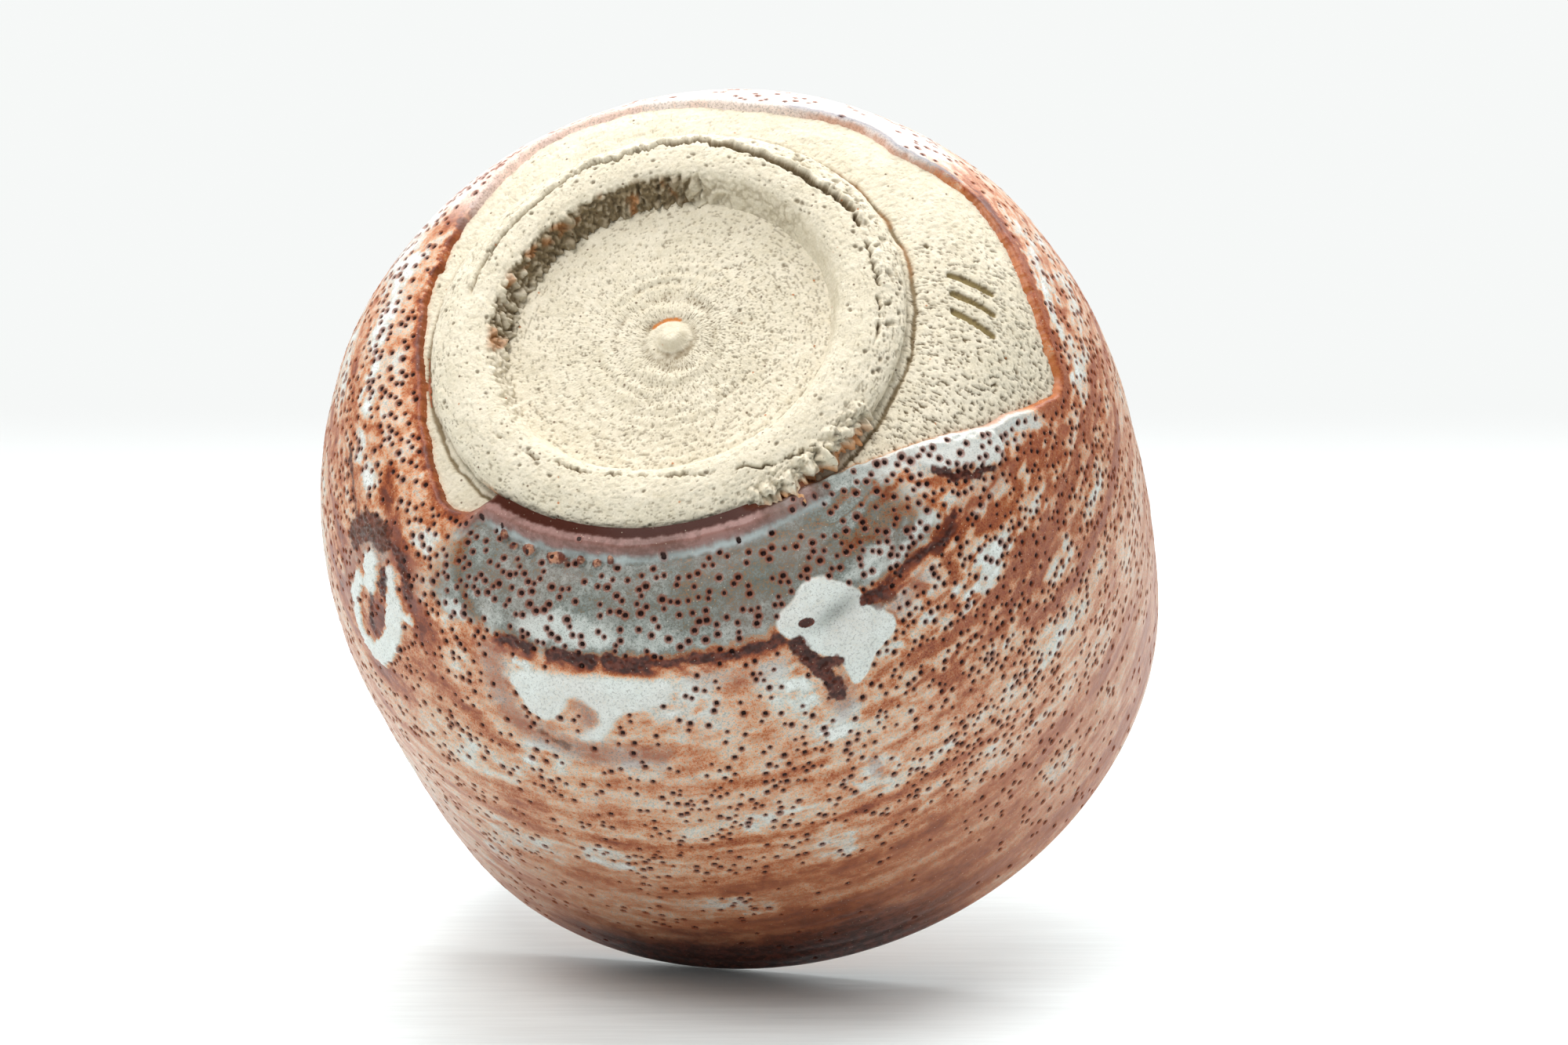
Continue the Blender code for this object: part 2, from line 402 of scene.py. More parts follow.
def scattered(lathe, seed, tries, wanted, spacing):
    """(row, column) places at least spacing apart, more of them where wanted is near 1."""
    rng = np.random.default_rng(seed)
    area = np.cumsum(lathe.radius * np.gradient(lathe.along))
    rows = np.minimum(np.searchsorted(area, rng.random(tries) * area[-1]), lathe.shape[0] - 1)
    columns = (rng.random(tries) * lathe.shape[1]).astype(int)
    lucky = rng.random(tries) < wanted[rows, columns]
    taken, found = {}, []
    for row, column in zip(rows[lucky], columns[lucky]):
        radius = lathe.radius[row]
        point = (radius * lathe.cos[column], radius * lathe.sin[column], lathe.height[row])
        cell = [int(value // spacing) for value in point]
        near = [
            other
            for move in np.ndindex(3, 3, 3)
            for other in taken.get(tuple(c + m - 1 for c, m in zip(cell, move)), ())
        ]
        if all(math.dist(point, other) >= spacing for other in near):
            taken.setdefault(tuple(cell), []).append(point)
            found.append((int(row), int(column)))
    return found


def stamp(lathe, places, sizes, reach, stretch=1.0):
    """For each pit in turn: the grid window around it, and how many of its radii away each point is."""
    row_gap = np.gradient(lathe.along)
    columns = lathe.shape[1]
    for (row, column), size in zip(places, sizes):
        across_gap = math.tau * lathe.radius[row] / columns
        half_rows = int(reach * size / row_gap[row]) + 1
        half_columns = min(int(reach * size * stretch / across_gap) + 1, columns // 2 - 1)
        rows = np.arange(max(0, row - half_rows), min(lathe.shape[0], row + half_rows + 1))
        around = np.arange(column - half_columns, column + half_columns + 1)
        up = (lathe.along[rows] - lathe.along[row])[:, None]
        across = ((around - column) * across_gap)[None, :] / stretch
        yield np.ix_(rows, around % columns), np.hypot(up, across) / size


# ---------------------------------------------------------------- the outer glaze's pattern

# Outlines of the thick white patches, as (degrees, height).
FLOWER = [
    (268.6, 9.8), (265, 9), (264, 8.3), (261.5, 8), (259, 8.2), (257.4, 9.5), (255.3, 10.6), (254.8, 12.8),
    (253.2, 14.6), (252, 17), (254, 18.3), (257.8, 19.4), (260.2, 21.6), (262.3, 21.8), (262.2, 19.3),
    (262.5, 17.3), (265.7, 15.4), (267.2, 13.2), (269.2, 12.3), (269.6, 10.8),
]
HOOK = [
    (314.4, 16.3), (312.6, 14.8), (308.5, 14.4), (305.2, 14.3), (301, 13.8), (295, 13.7), (290.3, 14.3),
    (287, 15.6), (290, 17.6), (293.6, 18.2), (296, 18.3), (297.8, 20.8), (299.5, 22.7), (302, 23.5),
    (304, 23.2), (302, 22), (299.6, 20.2), (299.7, 18.6), (301.5, 17.6), (304.2, 16.8), (305, 18.6),
    (306, 20.2), (308.6, 21.3), (310.9, 20.6), (312, 19.2), (313.2, 17.7),
]
# White strokes, most of them the arms of a torn ring, as (places, width).
RING_ARMS = [
    ([(341.6, 13.4), (339.2, 16)], 2.3),
    ([(339, 16.5), (337.8, 20.5), (339.2, 24.5), (340.6, 26.6)], 3.7),
    ([(340.4, 27), (343.2, 27.8), (347.2, 26.4), (349, 21.6), (348.7, 19)], 2.5),
    ([(347.2, 15), (345.8, 17.4)], 3.4),
    ([(337.6, 17.4), (334.8, 16.6)], 1.5),
    ([(313, 14), (311.4, 14.2)], 1.2),
]
CHUNK, CHUNK_WIDTH = [(230.5, 6.8), (225.6, 9), (221.4, 11.6)], 3.6

# Glossy lumps beside the roll of glaze, as (degrees, height, half across).
BUMPS = [
    (298, 4.6, 0.6), (300.8, 4.7, 0.8), (304.4, 4.7, 0.7), (309.6, 4.8, 1.7), (316.4, 4.8, 1.3),
    (319.6, 4.9, 0.8), (322.6, 4.7, 0.9),
]

# Dark iron along the slate's lower side, and elsewhere, as (places, width, strength).
IRON_BAND = [
    ([(316.5, 12), (314.5, 11.6), (311.4, 12)], 1.9, 0.8),
    ([(307.2, 12), (304.5, 11.8), (302.6, 12.1), (300.2, 11.9)], 1.9, 1),
    ([(297.4, 11.9), (295, 12.3), (291.6, 12.2)], 2.2, 1),
    ([(293, 12.1), (286, 12.1), (280, 12.3), (274, 12.4), (269.8, 12.2)], 1.2, 0.95),
    ([(273.6, 12.6), (269.8, 12.3)], 1.6, 0.95),
    ([(254.8, 12.6), (251.5, 12.7), (249, 12.4), (245.5, 12), (242, 12.5), (238, 13.2), (235, 12)], 0.9, 0.9),
    ([(254.8, 12.7), (251.5, 12.9)], 1.8, 0.95),
]
IRON_TRAILS = IRON_BAND + [
    ([(6.8, 10.9), (3.3, 11.3), (358.7, 12.3), (354.5, 13.5), (351.7, 13.2)], 1.1, 0.7),
    ([(231.8, 7.4), (230.6, 9.4), (228.6, 9.8), (227.8, 11.2), (225.4, 11.6), (224.4, 12.8)], 1.1, 1),
]
CRINKLED = [
    ([(267.6, 13.6), (266.6, 16), (265.6, 17.8), (264.6, 19.2), (264.6, 22)], 2.5, 1),
    ([(265.4, 17.6), (263, 17.6)], 2.1, 1),
    ([(310, 23.2), (307.5, 24.2), (305.4, 25)], 1.6, 0.6),
    ([(254, 13.8), (251, 14.2)], 1.7, 0.6),
    ([(353.4, 15), (351, 11.6), (346.6, 11)], 4.8, 0.74),
    ([(342, 10.6), (338.6, 11.6), (336.6, 13.6)], 2.4, 0.7),
    ([(344.6, 19.4), (344.4, 22.6), (342.6, 24.2)], 1.5, 0.8),
    ([(343, 14.4), (342.6, 16.6)], 2.2, 0.9),
]
MAUVE = [
    ([(318.5, 14), (317, 17), (315, 21), (312, 23.6), (306, 25), (300, 25.4), (292, 25.6)], 4, 0.85),
    ([(316, 13.4), (312, 12.9)], 1.6, 0.8),
    ([(284, 14), (277, 15.5), (271, 15)], 3, 0.5),
    ([(256, 15.8), (251, 15.4), (246, 14.6)], 2.6, 0.7),
    ([(346, 10), (351, 13.6), (352.6, 21.7), (350.6, 24)], 4.5, 0.9),
    ([(346, 12.6), (338, 10.2), (335, 14.4)], 3.6, 0.85),
    ([(264.2, 20.8), (264.4, 24)], 3.4, 0.85),
    ([(302, 18), (301.2, 20.2)], 2.6, 0.9),
    ([(235, 12.2), (229, 13.6), (222, 14.8)], 2, 0.5),
]
# Thin rusty glaze that the brush left, as (places, width, strength).
RUST_TRAILS = [
    ([(198, 34.6), (208, 36.6), (214, 36.2), (220, 35.1), (226, 35.4), (234, 33.6)], 2.6, 1),
    ([(220, 35), (230, 35.2), (240, 34.6), (256, 34.4), (272, 35)], 1.7, 0.6),
    ([(196, 26), (208, 25), (221, 25.2), (227, 25.3), (234.5, 23.2), (240.5, 24), (250, 23.8)], 1.9, 1),
    ([(250, 23.6), (256, 21.8), (258.5, 22.6)], 2, 0.65),
    ([(183, 14), (196, 16.8), (205, 18.6), (214, 17.2), (221, 14.2)], 2.4, 0.75),
    ([(203, 16), (211, 14.6), (219, 11.6)], 1.6, 0.8),
    ([(205, 20), (214, 20.6), (224, 18.6), (232, 15.4), (238, 12)], 2, 0.7),
    ([(239, 5.4), (242, 7), (247, 8), (252, 7.2)], 1.3, 0.6),
    ([(332, 4.6), (330, 7), (326, 9), (321, 11.5)], 1.7, 0.9),
    ([(354, 7), (349, 8.6), (341, 10), (337, 13.6), (332, 17)], 2.6, 1),
    ([(14, 9.6), (28, 9.8), (44, 9.6)], 1.2, 0.8),
    ([(2, 6.4), (10, 8), (13, 12), (11, 16)], 1.6, 0.8),
    ([(334, 8), (329, 13), (322, 15.4)], 1.6, 0.55),
    ([(262.6, 26.4), (253, 29), (246, 29.4), (230, 29)], 1.6, 0.5),
    ([(330, 45.6), (310, 45.2), (270, 44.6), (215, 46.4)], 1.8, 0.5),
    ([(320, 58), (270, 57), (215, 59.5)], 4.2, 0.45),
    ([(300, 69), (250, 69.5), (210, 71)], 3.6, 0.42),
    ([(330, 80), (255, 78), (204, 80)], 4.4, 0.5),
    ([(300, 30.8), (286, 31.2), (270, 32)], 2, 0.4),
    ([(0, 24), (350, 30), (333, 30)], 3, 0.7),
    ([(20, 17), (8, 19), (356, 19)], 3.4, 0.7),
    ([(333, 15), (329, 20), (322, 26), (314, 27.5)], 3.2, 0.55),
    ([(345, 38), (325, 40), (300, 39.4)], 2, 0.4),
    ([(40, 30), (90, 33), (150, 30), (190, 34)], 2.4, 0.8),
    ([(10, 44), (60, 47), (120, 45), (180, 48)], 2.2, 0.7),
    ([(50, 62), (110, 60), (170, 64)], 3.6, 0.6),
    ([(340, 70), (20, 72), (80, 70)], 3, 0.5),
]
# Where pale glaze shows through, as (degrees, height, half across, half up, turn, strength).
PALE_SPOTS = [
    (305.5, 9.6, 7, 3.2, 0, 0.9), (269.6, 20.8, 2.1, 3.6, 6, 1), (266.3, 26.6, 4, 2.2, 10, 0.95),
    (263.4, 38, 3.2, 4.4, 0, 0.85), (272, 17, 3, 5, 0, 0.5), (287, 17, 5.5, 3.6, 0, 0.75),
    (286, 21.5, 4, 2.6, 0, 0.45), (309.5, 28, 4, 3.4, 0, 0.8), (294, 27.6, 4, 1.6, 0, 0.6),
    (288, 62.5, 6, 2.4, -20, 0.8), (304, 50, 3.4, 3.4, 0, 0.85), (325, 62, 3.4, 3.6, 0, 0.8),
    (272, 51, 3, 5, 0, 0.75), (280, 40.6, 9, 2, 0, 0.5), (237, 67, 4.6, 2.6, -14, 0.6),
    (244, 50, 22, 3.2, 0, 0.32), (212, 31, 7, 2.2, 0, 0.4), (233, 30.6, 11, 2.4, 0, 0.5),
    (238, 20.4, 11, 3, 8, 0.75), (222, 21.6, 7, 1.6, 0, 0.45), (247, 10, 8, 2.6, -8, 0.8),
    (238, 41, 16, 2.4, 0, 0.42), (260, 41.6, 9, 2, 0, 0.4), (320, 52, 9, 4, 0, 0.5),
    (325, 17, 2.6, 2.6, 0, 0.5), (327, 12, 2.6, 2.4, 0, 0.9), (322, 33, 8, 3, 0, 0.55),
    (42, 6.6, 5, 1.9, 0, 1), (30, 6.6, 4.4, 1.8, 0, 1), (21, 7, 3.6, 1.7, 0, 1), (12.4, 7.6, 3, 1.9, 0, 1),
    (5, 9.2, 2.4, 2, 0, 1), (52, 9.4, 12, 3, 0, 0.9), (357, 9, 2.8, 1.7, 0, 1), (331, 12, 3.4, 2.6, 0, 0.7),
    (337, 7.4, 4.2, 2.2, 0, 0.9), (1, 14, 3.4, 2.6, 0, 0.7), (24, 14, 6.5, 2.8, 0, 0.7),
    (334, 12, 2.4, 2, 0, 0.7), (150, 12, 12, 2.4, 0, 0.7), (115, 12, 14, 3, 0, 0.5),
    (180, 24, 9, 3.4, 0, 0.6), (186, 17, 14, 3.2, 0, 0.9), (196, 22, 5, 2.6, 0, 0.6),
    (90, 24, 16, 4, 0, 0.6), (60, 40, 12, 4, 0, 0.6), (130, 40, 14, 4, 0, 0.6), (20, 56, 12, 4, 0, 0.6),
    (100, 53, 12, 4, 0, 0.5), (165, 55, 12, 3, 0, 0.5), (350, 62, 6, 4, 0, 0.6),
]
# Where the glaze is a little thicker, as (start, end, soft, height with none of it, height with all, amount).
DRIFTS = [(258, 326, 10, 46, 34, 0.07), (196, 246, 12, 18, 26, -0.05), (296, 345, 12, 44, 58, 0.12)]


def outer_glaze_edge(degrees):
    """The radius where the glaze ends, at each of these degrees."""
    turns, radii = np.array(GLAZE_LINE, float).T
    line = np.interp(degrees, turns, radii, period=360)
    reach = np.hanning(9) / np.hanning(9).sum()
    line = np.convolve(np.concatenate([line[-8:], line, line[:8]]), reach, "same")[8:-8]
    return line + 0.3 * rough(on_circle(degrees, 60), 11, 4, 0.6) * step(34.9, 36.5, line)


def glaze_edge(lathe):
    """Distance in mm from the glaze's lower edge, positive where there is glaze."""
    fine = np.arange(0, 360, 0.5)
    line = outer_glaze_edge(fine)
    edge = np.interp(lathe.degrees, fine, lathe.at_radius(line), period=360)
    arc = np.radians(360 / len(edge)) * np.interp(lathe.degrees, fine, line, period=360)
    return (lathe.ALONG - edge) / np.hypot(1, np.gradient(edge) / arc)


class OuterPattern:
    """The outer glaze's markings, each a mask from 0 to 1 over the grid, and the noise that they share."""

    def __init__(self, lathe):
        self.lathe, self.deg, self.z = lathe, lathe.DEG, lathe.Z
        self.edge = glaze_edge(lathe)
        self.warp = rough(lathe.streaked(9, 5), 21, 3)
        self.ragged = rough(lathe.streaked(1.7, 1.3), 31, 3, 0.6)
        self.clouds = rough(lathe.streaked(14, 8), 51, 3)
        self.flecks = rough(lathe.streaked(4.6, 2.6) + 0.1 * self.warp[..., None], 61, 4, 0.62)
        self.high = step(44, 64, self.z)
        self.right = between(self.deg, 182, 246, 14) * step(6, 12, self.z)
        # A patch by the lip, where the bowl touches the table, is darker: partly dark glaze and partly
        # painted shade from the table.
        self.dark_glaze_and_shade = between(self.deg, 272, 306, 22) * step(64, 82, self.z + 3 * self.warp)
        self.draw_white()
        self.draw_iron()
        self.draw_rest()

    def painted(self, trails, soft, torn):
        """Every trail, each at its own strength, with edges that are torn this much."""
        return union(*(
            power * trail(self.lathe, places, width, soft, torn) for places, width, power in trails
        ))

    def oval(self, degrees, height, half_across, half_up, turn=0.0):
        return self.lathe.spot(degrees, self.lathe.at_height(height), half_across, half_up, turn)

    def draw_white(self):
        lathe, ragged = self.lathe, self.ragged
        torn = 0.6 * ragged + 0.2 * self.warp
        arms = [trail(lathe, places, width, 0.45, torn) for places, width in RING_ARMS]
        flower, hook = blot(lathe, FLOWER, 0.25, 0.12 * ragged), blot(lathe, HOOK, 0.7, 0.3 * ragged)
        self.white = union(flower, hook, *arms)
        self.chunk = trail(lathe, CHUNK, CHUNK_WIDTH, 0.5, 0.35 * ragged)

    def draw_iron(self):
        ragged, warp = self.ragged, self.warp
        self.iron = self.painted(IRON_TRAILS, 0.45, 0.5 * ragged + 0.1 * warp)
        self.crinkled = self.painted(CRINKLED, 0.5, 0.5 * ragged + 0.2 * warp)
        wider = [(places, width + 0.6, power) for places, width, power in IRON_BAND]
        self.browned = self.painted(wider, 1.4, 0.6 * ragged)
        lens = self.oval(264.9, 11.7, 1.25, 0.72, -12)
        iron = 0.9 * self.iron * (1 - self.white * step(13, 14, self.z))
        # The darker patch by the lip joins the dark iron here; it is partly painted shade.
        self.dark = union(step(-0.1, 0.25, lens), iron, 0.85 * self.crinkled, 0.68 * self.dark_glaze_and_shade)

    def draw_rest(self):
        deg, z, ragged, warp = self.deg, self.z, self.ragged, self.warp
        oval = self.oval(263.6, 37.2, 1.05, 2.5)
        self.heart = self.oval(342.6, 21, 2.4, 4.2, 8)
        mauve = self.painted(MAUVE, 1.5, 0.8 * ragged + 0.3 * warp)
        mauve = union(mauve, 0.3 * step(-0.2, 0.25, self.heart + 0.1 * ragged), 0.6 * step(-0.2, 0.2, oval))
        self.mauve = mauve * (1 - self.white)
        self.rust = self.painted(RUST_TRAILS, 1.5, 0.7 * ragged + 0.8 * warp)
        slate_top = z + 0.5 * ragged + 0.9 * warp * step(6, 9, z)
        self.slate = between(deg, 243, 328, 9) * step(12.6, 10.4, slate_top)
        self.spots = union(*(
            power * step(-0.35, 0.4, self.oval(*place) + 0.2 * ragged + 0.1 * warp)
            for *place, power in PALE_SPOTS
        ))
        band = self.edge + 0.7 * ragged
        self.left_strip = step(1.1 + 1.7 * between(deg, 342, 14, 24), 0.4, band) * between(deg, 334, 64, 6)
        self.right_strip = step(3.4, 1.6, band) * between(deg, 172, 212, 10)
        # Pale pinkish white low on the top side of the bowl: partly the glaze's own pale colour and partly a
        # painted highlight where the strongest light falls.
        self.pale_top_and_highlight = between(deg, 64, 152, 12) * step(20, 12, z + 1.5 * warp)

    def thickness(self):
        """0 where the glaze is thin and rusty, and 1 where it is thick and white."""
        deg, z, flecks, ragged = self.deg, self.z, self.flecks, self.ragged
        streaks = rough(self.lathe.streaked(26, 2.2) + 0.15 * self.warp[..., None], 41, 4, 0.6)
        thick = 0.47 + 0.1 * streaks + 0.09 * self.clouds + 0.13 * flecks - 0.09 * self.high
        thick = thick + 0.42 * self.spots * (0.66 + 0.5 * flecks + 0.4 * ragged) - 0.36 * self.rust
        veins = rough(self.lathe.streaked(7, 3.4) + 0.2 * self.warp[..., None], 65, 2)
        veins = step(0.4, 0.06, np.abs(veins))
        webbed = union(between(deg, 192, 250, 14), between(deg, 350, 64, 14), 0.6 * between(deg, 60, 196))
        webbed = step(44, 20, z) * webbed
        thick = thick + webbed * (0.17 - 0.34 * veins * (1 - 0.5 * between(deg, 350, 66, 14)))
        for start, end, soft, none, full, amount in DRIFTS:
            thick = thick + amount * between(deg, start, end, soft) * step(none, full, z)
        thick = thick + 0.1 * self.right * step(30, 44, z)
        thick = thick - 0.42 * union(self.left_strip, self.right_strip)
        # The pale top also makes the glaze thicker and whiter there: partly a painted highlight.
        thick = thick + 0.34 * self.pale_top_and_highlight * (1 - self.right_strip)
        thick = thick - 0.4 * between(deg, 58, 96, 8) * step(4.6, 3.0, self.edge + 0.5 * ragged)

        # The slate is darker low down beside the roll: partly thinner glaze and partly painted shade under
        # the roll.
        slate_body = 0.72 + 0.16 * step(7, 11, z) + 0.08 * flecks + 0.2 * step(0.2, 0.9, self.spots)
        slate_body = slate_body - 0.26 * veins * step(262, 244, deg) - 0.07 * between(deg, 258, 282, 8)
        thick = thick * (1 - self.slate) + self.slate * (slate_body - 0.45 * self.rust)
        thick = np.maximum(thick, 0.25 * between(deg, 182, 252, 14))
        stained = union(0.7 * self.browned, 0.34 * step(-0.3, 0.4, self.heart + 0.2 * ragged))
        thick = thick - stained * (1 - self.white)
        rim = 0.9 * between(deg, 213, 247, 4) * step(4.4, 2.6, self.edge + 0.6 * ragged)
        whitish = union(self.white, self.chunk, rim)
        thick = thick * (1 - whitish) + 0.9 * whitish
        left_brown = between(deg, 330, 2, 8) * step(31, 24, z) * step(8, 12, z) * (1 - self.white)
        # The patch by the lip is darker here too: partly dark glaze, partly painted shade.
        return thick - 0.1 * left_brown - 0.3 * self.dark_glaze_and_shade

    def pit_chances(self, thick):
        """The chance of a pit at each point."""
        deg, z, lathe = self.deg, self.z, self.lathe
        left = between(deg, 326, 70, 10) * step(34, 20, z)
        thin = union(0.7 * self.mauve, 0.7 * self.rust, 0.9 * step(0.5, 0.26, thick))
        thin = thin * (1 - 0.6 * union(left, self.right))
        calm = union(step(0.1, 0.6, self.white), step(0.1, 0.5, self.dark), thin)
        gather = step(-0.3, 0.4, rough(lathe.streaked(3.6, 2.8), 71, 2))
        gather = gather * step(-0.9, 0.3, rough(lathe.streaked(12, 7), 75, 2))
        gather = gather * (1 - 0.45 * between(deg, 272, 314, 8) * hill(z - 18, 6)) + 0.35 * self.slate
        gather = gather + 0.35 * left + 0.4 * between(deg, 195, 254, 10) * step(38, 26, z) + 0.22 * self.right
        chance = (0.9 - 0.45 * self.high * (1 - self.spots)) * gather * (1 - calm)
        chance = chance + 0.03 * (1 - step(0.1, 0.6, self.white))
        sparse = 0.6 * step(0.6, 0.95, z / HEIGHT) * between(deg, 200, 262, 10)
        chance = union(chance, 0.5 * self.chunk) * step(84.5, 82, z) * (1 - sparse)
        return np.clip(chance, 0, 1)

    def masks(self, thick):
        """The masks that the glaze's material reads."""
        deg, z = self.deg, self.z
        whitish = union(self.white, self.chunk)
        # Painted shade: grey in a dip of the flower patch, and on the slate just under the roll of glaze,
        # where the roll shades it.
        dip_shade = hill(apart(deg, 260) / 4.6, 1) * hill(z - 12 - 0.1 * apart(deg, 260), 1.1)
        under_roll = 0.75 * self.slate * step(4.2, 2.4, self.edge) * between(deg, 262, 322, 9)
        return {
            "thick": np.clip(thick, 0, 1),
            "dark": self.dark,
            "mauve": self.mauve * (1 - self.dark),
            "cool": self.slate * (1 - whitish),
            "pink": np.clip(self.high * (0.8 + 0.3 * self.clouds), 0, 1),
            "shade": union(dip_shade * self.white, under_roll),
            "pale_top_and_highlight": self.pale_top_and_highlight * (1 - self.right_strip),
        }


def pitted(lathe, places, sizes, depth, rim):
    """Craters at these places: how far they raise the glaze, and masks of holes and their stained rims."""
    raised, hole, halo = (np.zeros(lathe.shape) for _ in range(3))
    for (window, away), size in zip(stamp(lathe, places, sizes, 2.6), sizes):
        raised[window] = np.minimum(raised[window], -depth * size * step(1.3, 0.35, away))
        raised[window] += rim * size * hill(away - 1.5, 0.3)
        hole[window] = np.maximum(hole[window], step(1.25, 0.7, away))
        halo[window] = np.maximum(halo[window], step(2.2, 1.1, away))
    return raised, hole, halo


def outer_glaze():
    lathe = Lathe(spaced(outside_line(), GLAZE_GAP), GLAZE_COLUMNS)
    pattern = OuterPattern(lathe)
    thick = pattern.thickness()
    deg, z, edge, ragged = lathe.DEG, lathe.Z, pattern.edge, pattern.ragged

    # Broad unevenness, throwing marks, and the swell of the thick white glaze.
    white, crinkled = union(pattern.white, pattern.chunk), union(pattern.crinkled, 0.8 * pattern.iron)
    raised = 0.26 * rough(lathe.streaked(38, 24), 81, 2) + 0.11 * rough(lathe.streaked(60, 3.4), 91, 2)
    raised = raised + 0.06 * pattern.clouds + 0.04 * pattern.flecks
    raised = raised + 0.3 * white + 0.45 * pattern.chunk + 0.1 * np.clip(thick, 0, 1) - 0.1 * pattern.dark
    raised = raised + 0.6 * crinkled * np.abs(rough(lathe.streaked(1.1, 0.9), 101, 2))
    raised = raised * step(0, 6, z) * step(HEIGHT, HEIGHT - 4, z)

    # Pits where gas broke through. The roll of glaze beside the foot has hardly any.
    roll_place = between(deg, 254, 328, 7) * (1 - 0.5 * hill(apart(deg, 258), 5))
    wanted = pattern.pit_chances(thick) * step(0.9, 1.7, edge)
    wanted = wanted * (1 - 0.93 * roll_place * step(4.6, 3.8, edge))
    places = scattered(lathe, 5, PIT_TRIES, wanted, PIT_SPACING)
    low = np.array([lathe.height[row] < LOW_ON_WALL for row, _ in places])
    sizes = np.where(low, 0.28, 0.24) + 0.17 * np.random.default_rng(6).random(len(places)) ** 1.8
    crater, hole, halo = pitted(lathe, places, sizes, 1.3, 0.14)
    raised = raised + crater

    # A thick roll of glaze has run down to the foot on one side, and a thinner bead ends the rest.
    sway = 0.3 * rough(on_circle(lathe.degrees, 30), 111, 3)
    roll = roll_place * step(3.9, 1.9, edge - sway)
    bead = step(0, 1.0, edge) * step(2.4, 0.8, edge) * (1 - roll_place)
    raised = raised * (1 - roll_place * step(3.6, 1.6, edge))
    raised = raised + ROLL_SWELL * roll + (0.06 + 0.45 * between(deg, 214, 250, 6)) * bead
    bumps = union(*(
        np.clip(1.3 * pattern.oval(at, height, across, 0.4 * across + 0.35) + 0.4 * ragged, 0, 1)
        for at, height, across in BUMPS
    ))
    raised = raised + BUMP_SWELL * np.sqrt(bumps)
    rounding = np.sqrt(np.clip(1 - (1 - np.clip(edge / 0.8, 0, 1)) ** 2, 0, 1))
    dive = 1 - roll_place
    raised = raised * (1 - dive * step(0.9, 0, edge)) - 1.5 * dive * (1 - rounding)

    # Stains along the glaze's edge, and the bands of the roll.
    band = edge + 0.22 * ragged
    lip = step(0.5, 0.15, band + 0.25 * pattern.clouds) * (1 - roll_place)
    lip = lip * (0.75 - 0.7 * between(deg, 60, 128, 10) - 0.45 * between(deg, 338, 56, 6))
    frost = roll_place * hill(band - sway - 3.4, 0.4) * step(-1.3, 0.0, pattern.clouds)
    glaze = lathe.mesh("glaze_outside", lathe.points(raised), kept=edge > -0.5)
    paint(
        glaze, hole=hole, halo=halo, lip=np.clip(lip, 0, 1), bumps=bumps, frost=frost,
        blue=between(deg, 130, 163, 3) * hill(edge - 1.0, 0.55),
        roll=roll_place * step(3.3, 2.8, band - sway),
        seam=roll_place * step(1.15, 0.65, band - 0.8 * sway), **pattern.masks(thick),
    )
    trimmed(glaze)
    return glaze


def inner_glaze():
    lathe = Lathe(spaced(inside_line(), INSIDE_GAP), INSIDE_COLUMNS)
    clouds = rough(lathe.streaked(18, 9), 151, 4)
    streaks = rough(lathe.streaked(34, 3.4), 161, 4, 0.6)
    flecks = rough(lathe.streaked(7, 4), 171, 4, 0.6)
    pool = step(26, 12, lathe.RADIUS) * step(20, 16, lathe.Z)
    thick = np.clip(0.46 + 0.14 * streaks + 0.1 * clouds + 0.16 * flecks + 0.36 * pool, 0, 1)
    raised = 0.14 * rough(lathe.streaked(40, 4.5), 181, 2) + 0.05 * clouds
    raised = raised * step(HEIGHT, HEIGHT - 6, lathe.Z) - 0.04 * step(HEIGHT - 4, HEIGHT - 0.5, lathe.Z)
    wanted = np.clip(0.2 + 0.9 * (thick - 0.4), 0, 1) * step(HEIGHT - 3, HEIGHT - 8, lathe.Z)
    places = scattered(lathe, 7, 7000, wanted * step(3, 6, lathe.RADIUS), 1.4)
    sizes = 0.36 + 0.14 * np.random.default_rng(8).random(len(places))
    crater, hole, halo = pitted(lathe, places, sizes, 1.2, 0.1)
    glaze = lathe.mesh("glaze_inside", lathe.points(raised + crater), centre="last")
    paint(glaze, thick=thick, hole=hole, halo=halo, pink=0 * thick + 0.35, cool=0.5 * pool)
    return glaze


# ---------------------------------------------------------------- bare clay


# The torn fold that runs round the foot and the crack in its face, as (degrees, radius), and the degrees
# of the cracks down the recess's wall.
FOLD = [
    (36, 29.6), (50, 29.9), (65, 30.1), (80, 30.9), (88, 31.3), (95, 30.7), (103, 31.3), (110, 31.8),
    (116, 31.9), (127, 31), (140, 30.4), (152, 30.1), (160, 30.8), (166, 31.2), (176, 31), (184, 30.6),
    (195, 31), (206, 31.5),
]
RIM_CRACK = [(245, 32.2), (254, 31.8), (267, 29), (285, 26.9), (307, 26.6), (322, 27.5), (339, 28.8)]
WALL_CRACKS = [88, 97, 103, 107.5, 111, 117]

# Three short strokes beside the foot: their degrees, radius, length, width and turn.
MARK_DEGREES, MARK_RADIUS, MARK_LENGTH, MARK_WIDTH, MARK_TURN = (189.6, 194.2, 198.8), 43.4, 6.4, 1.35, 66


def tears(places, seed, width):
    """Small dark gashes as a mask from 0 to 1."""
    return step(0.18, 0.62, rough(places, seed, 3, 0.65) - 0.12 + width)


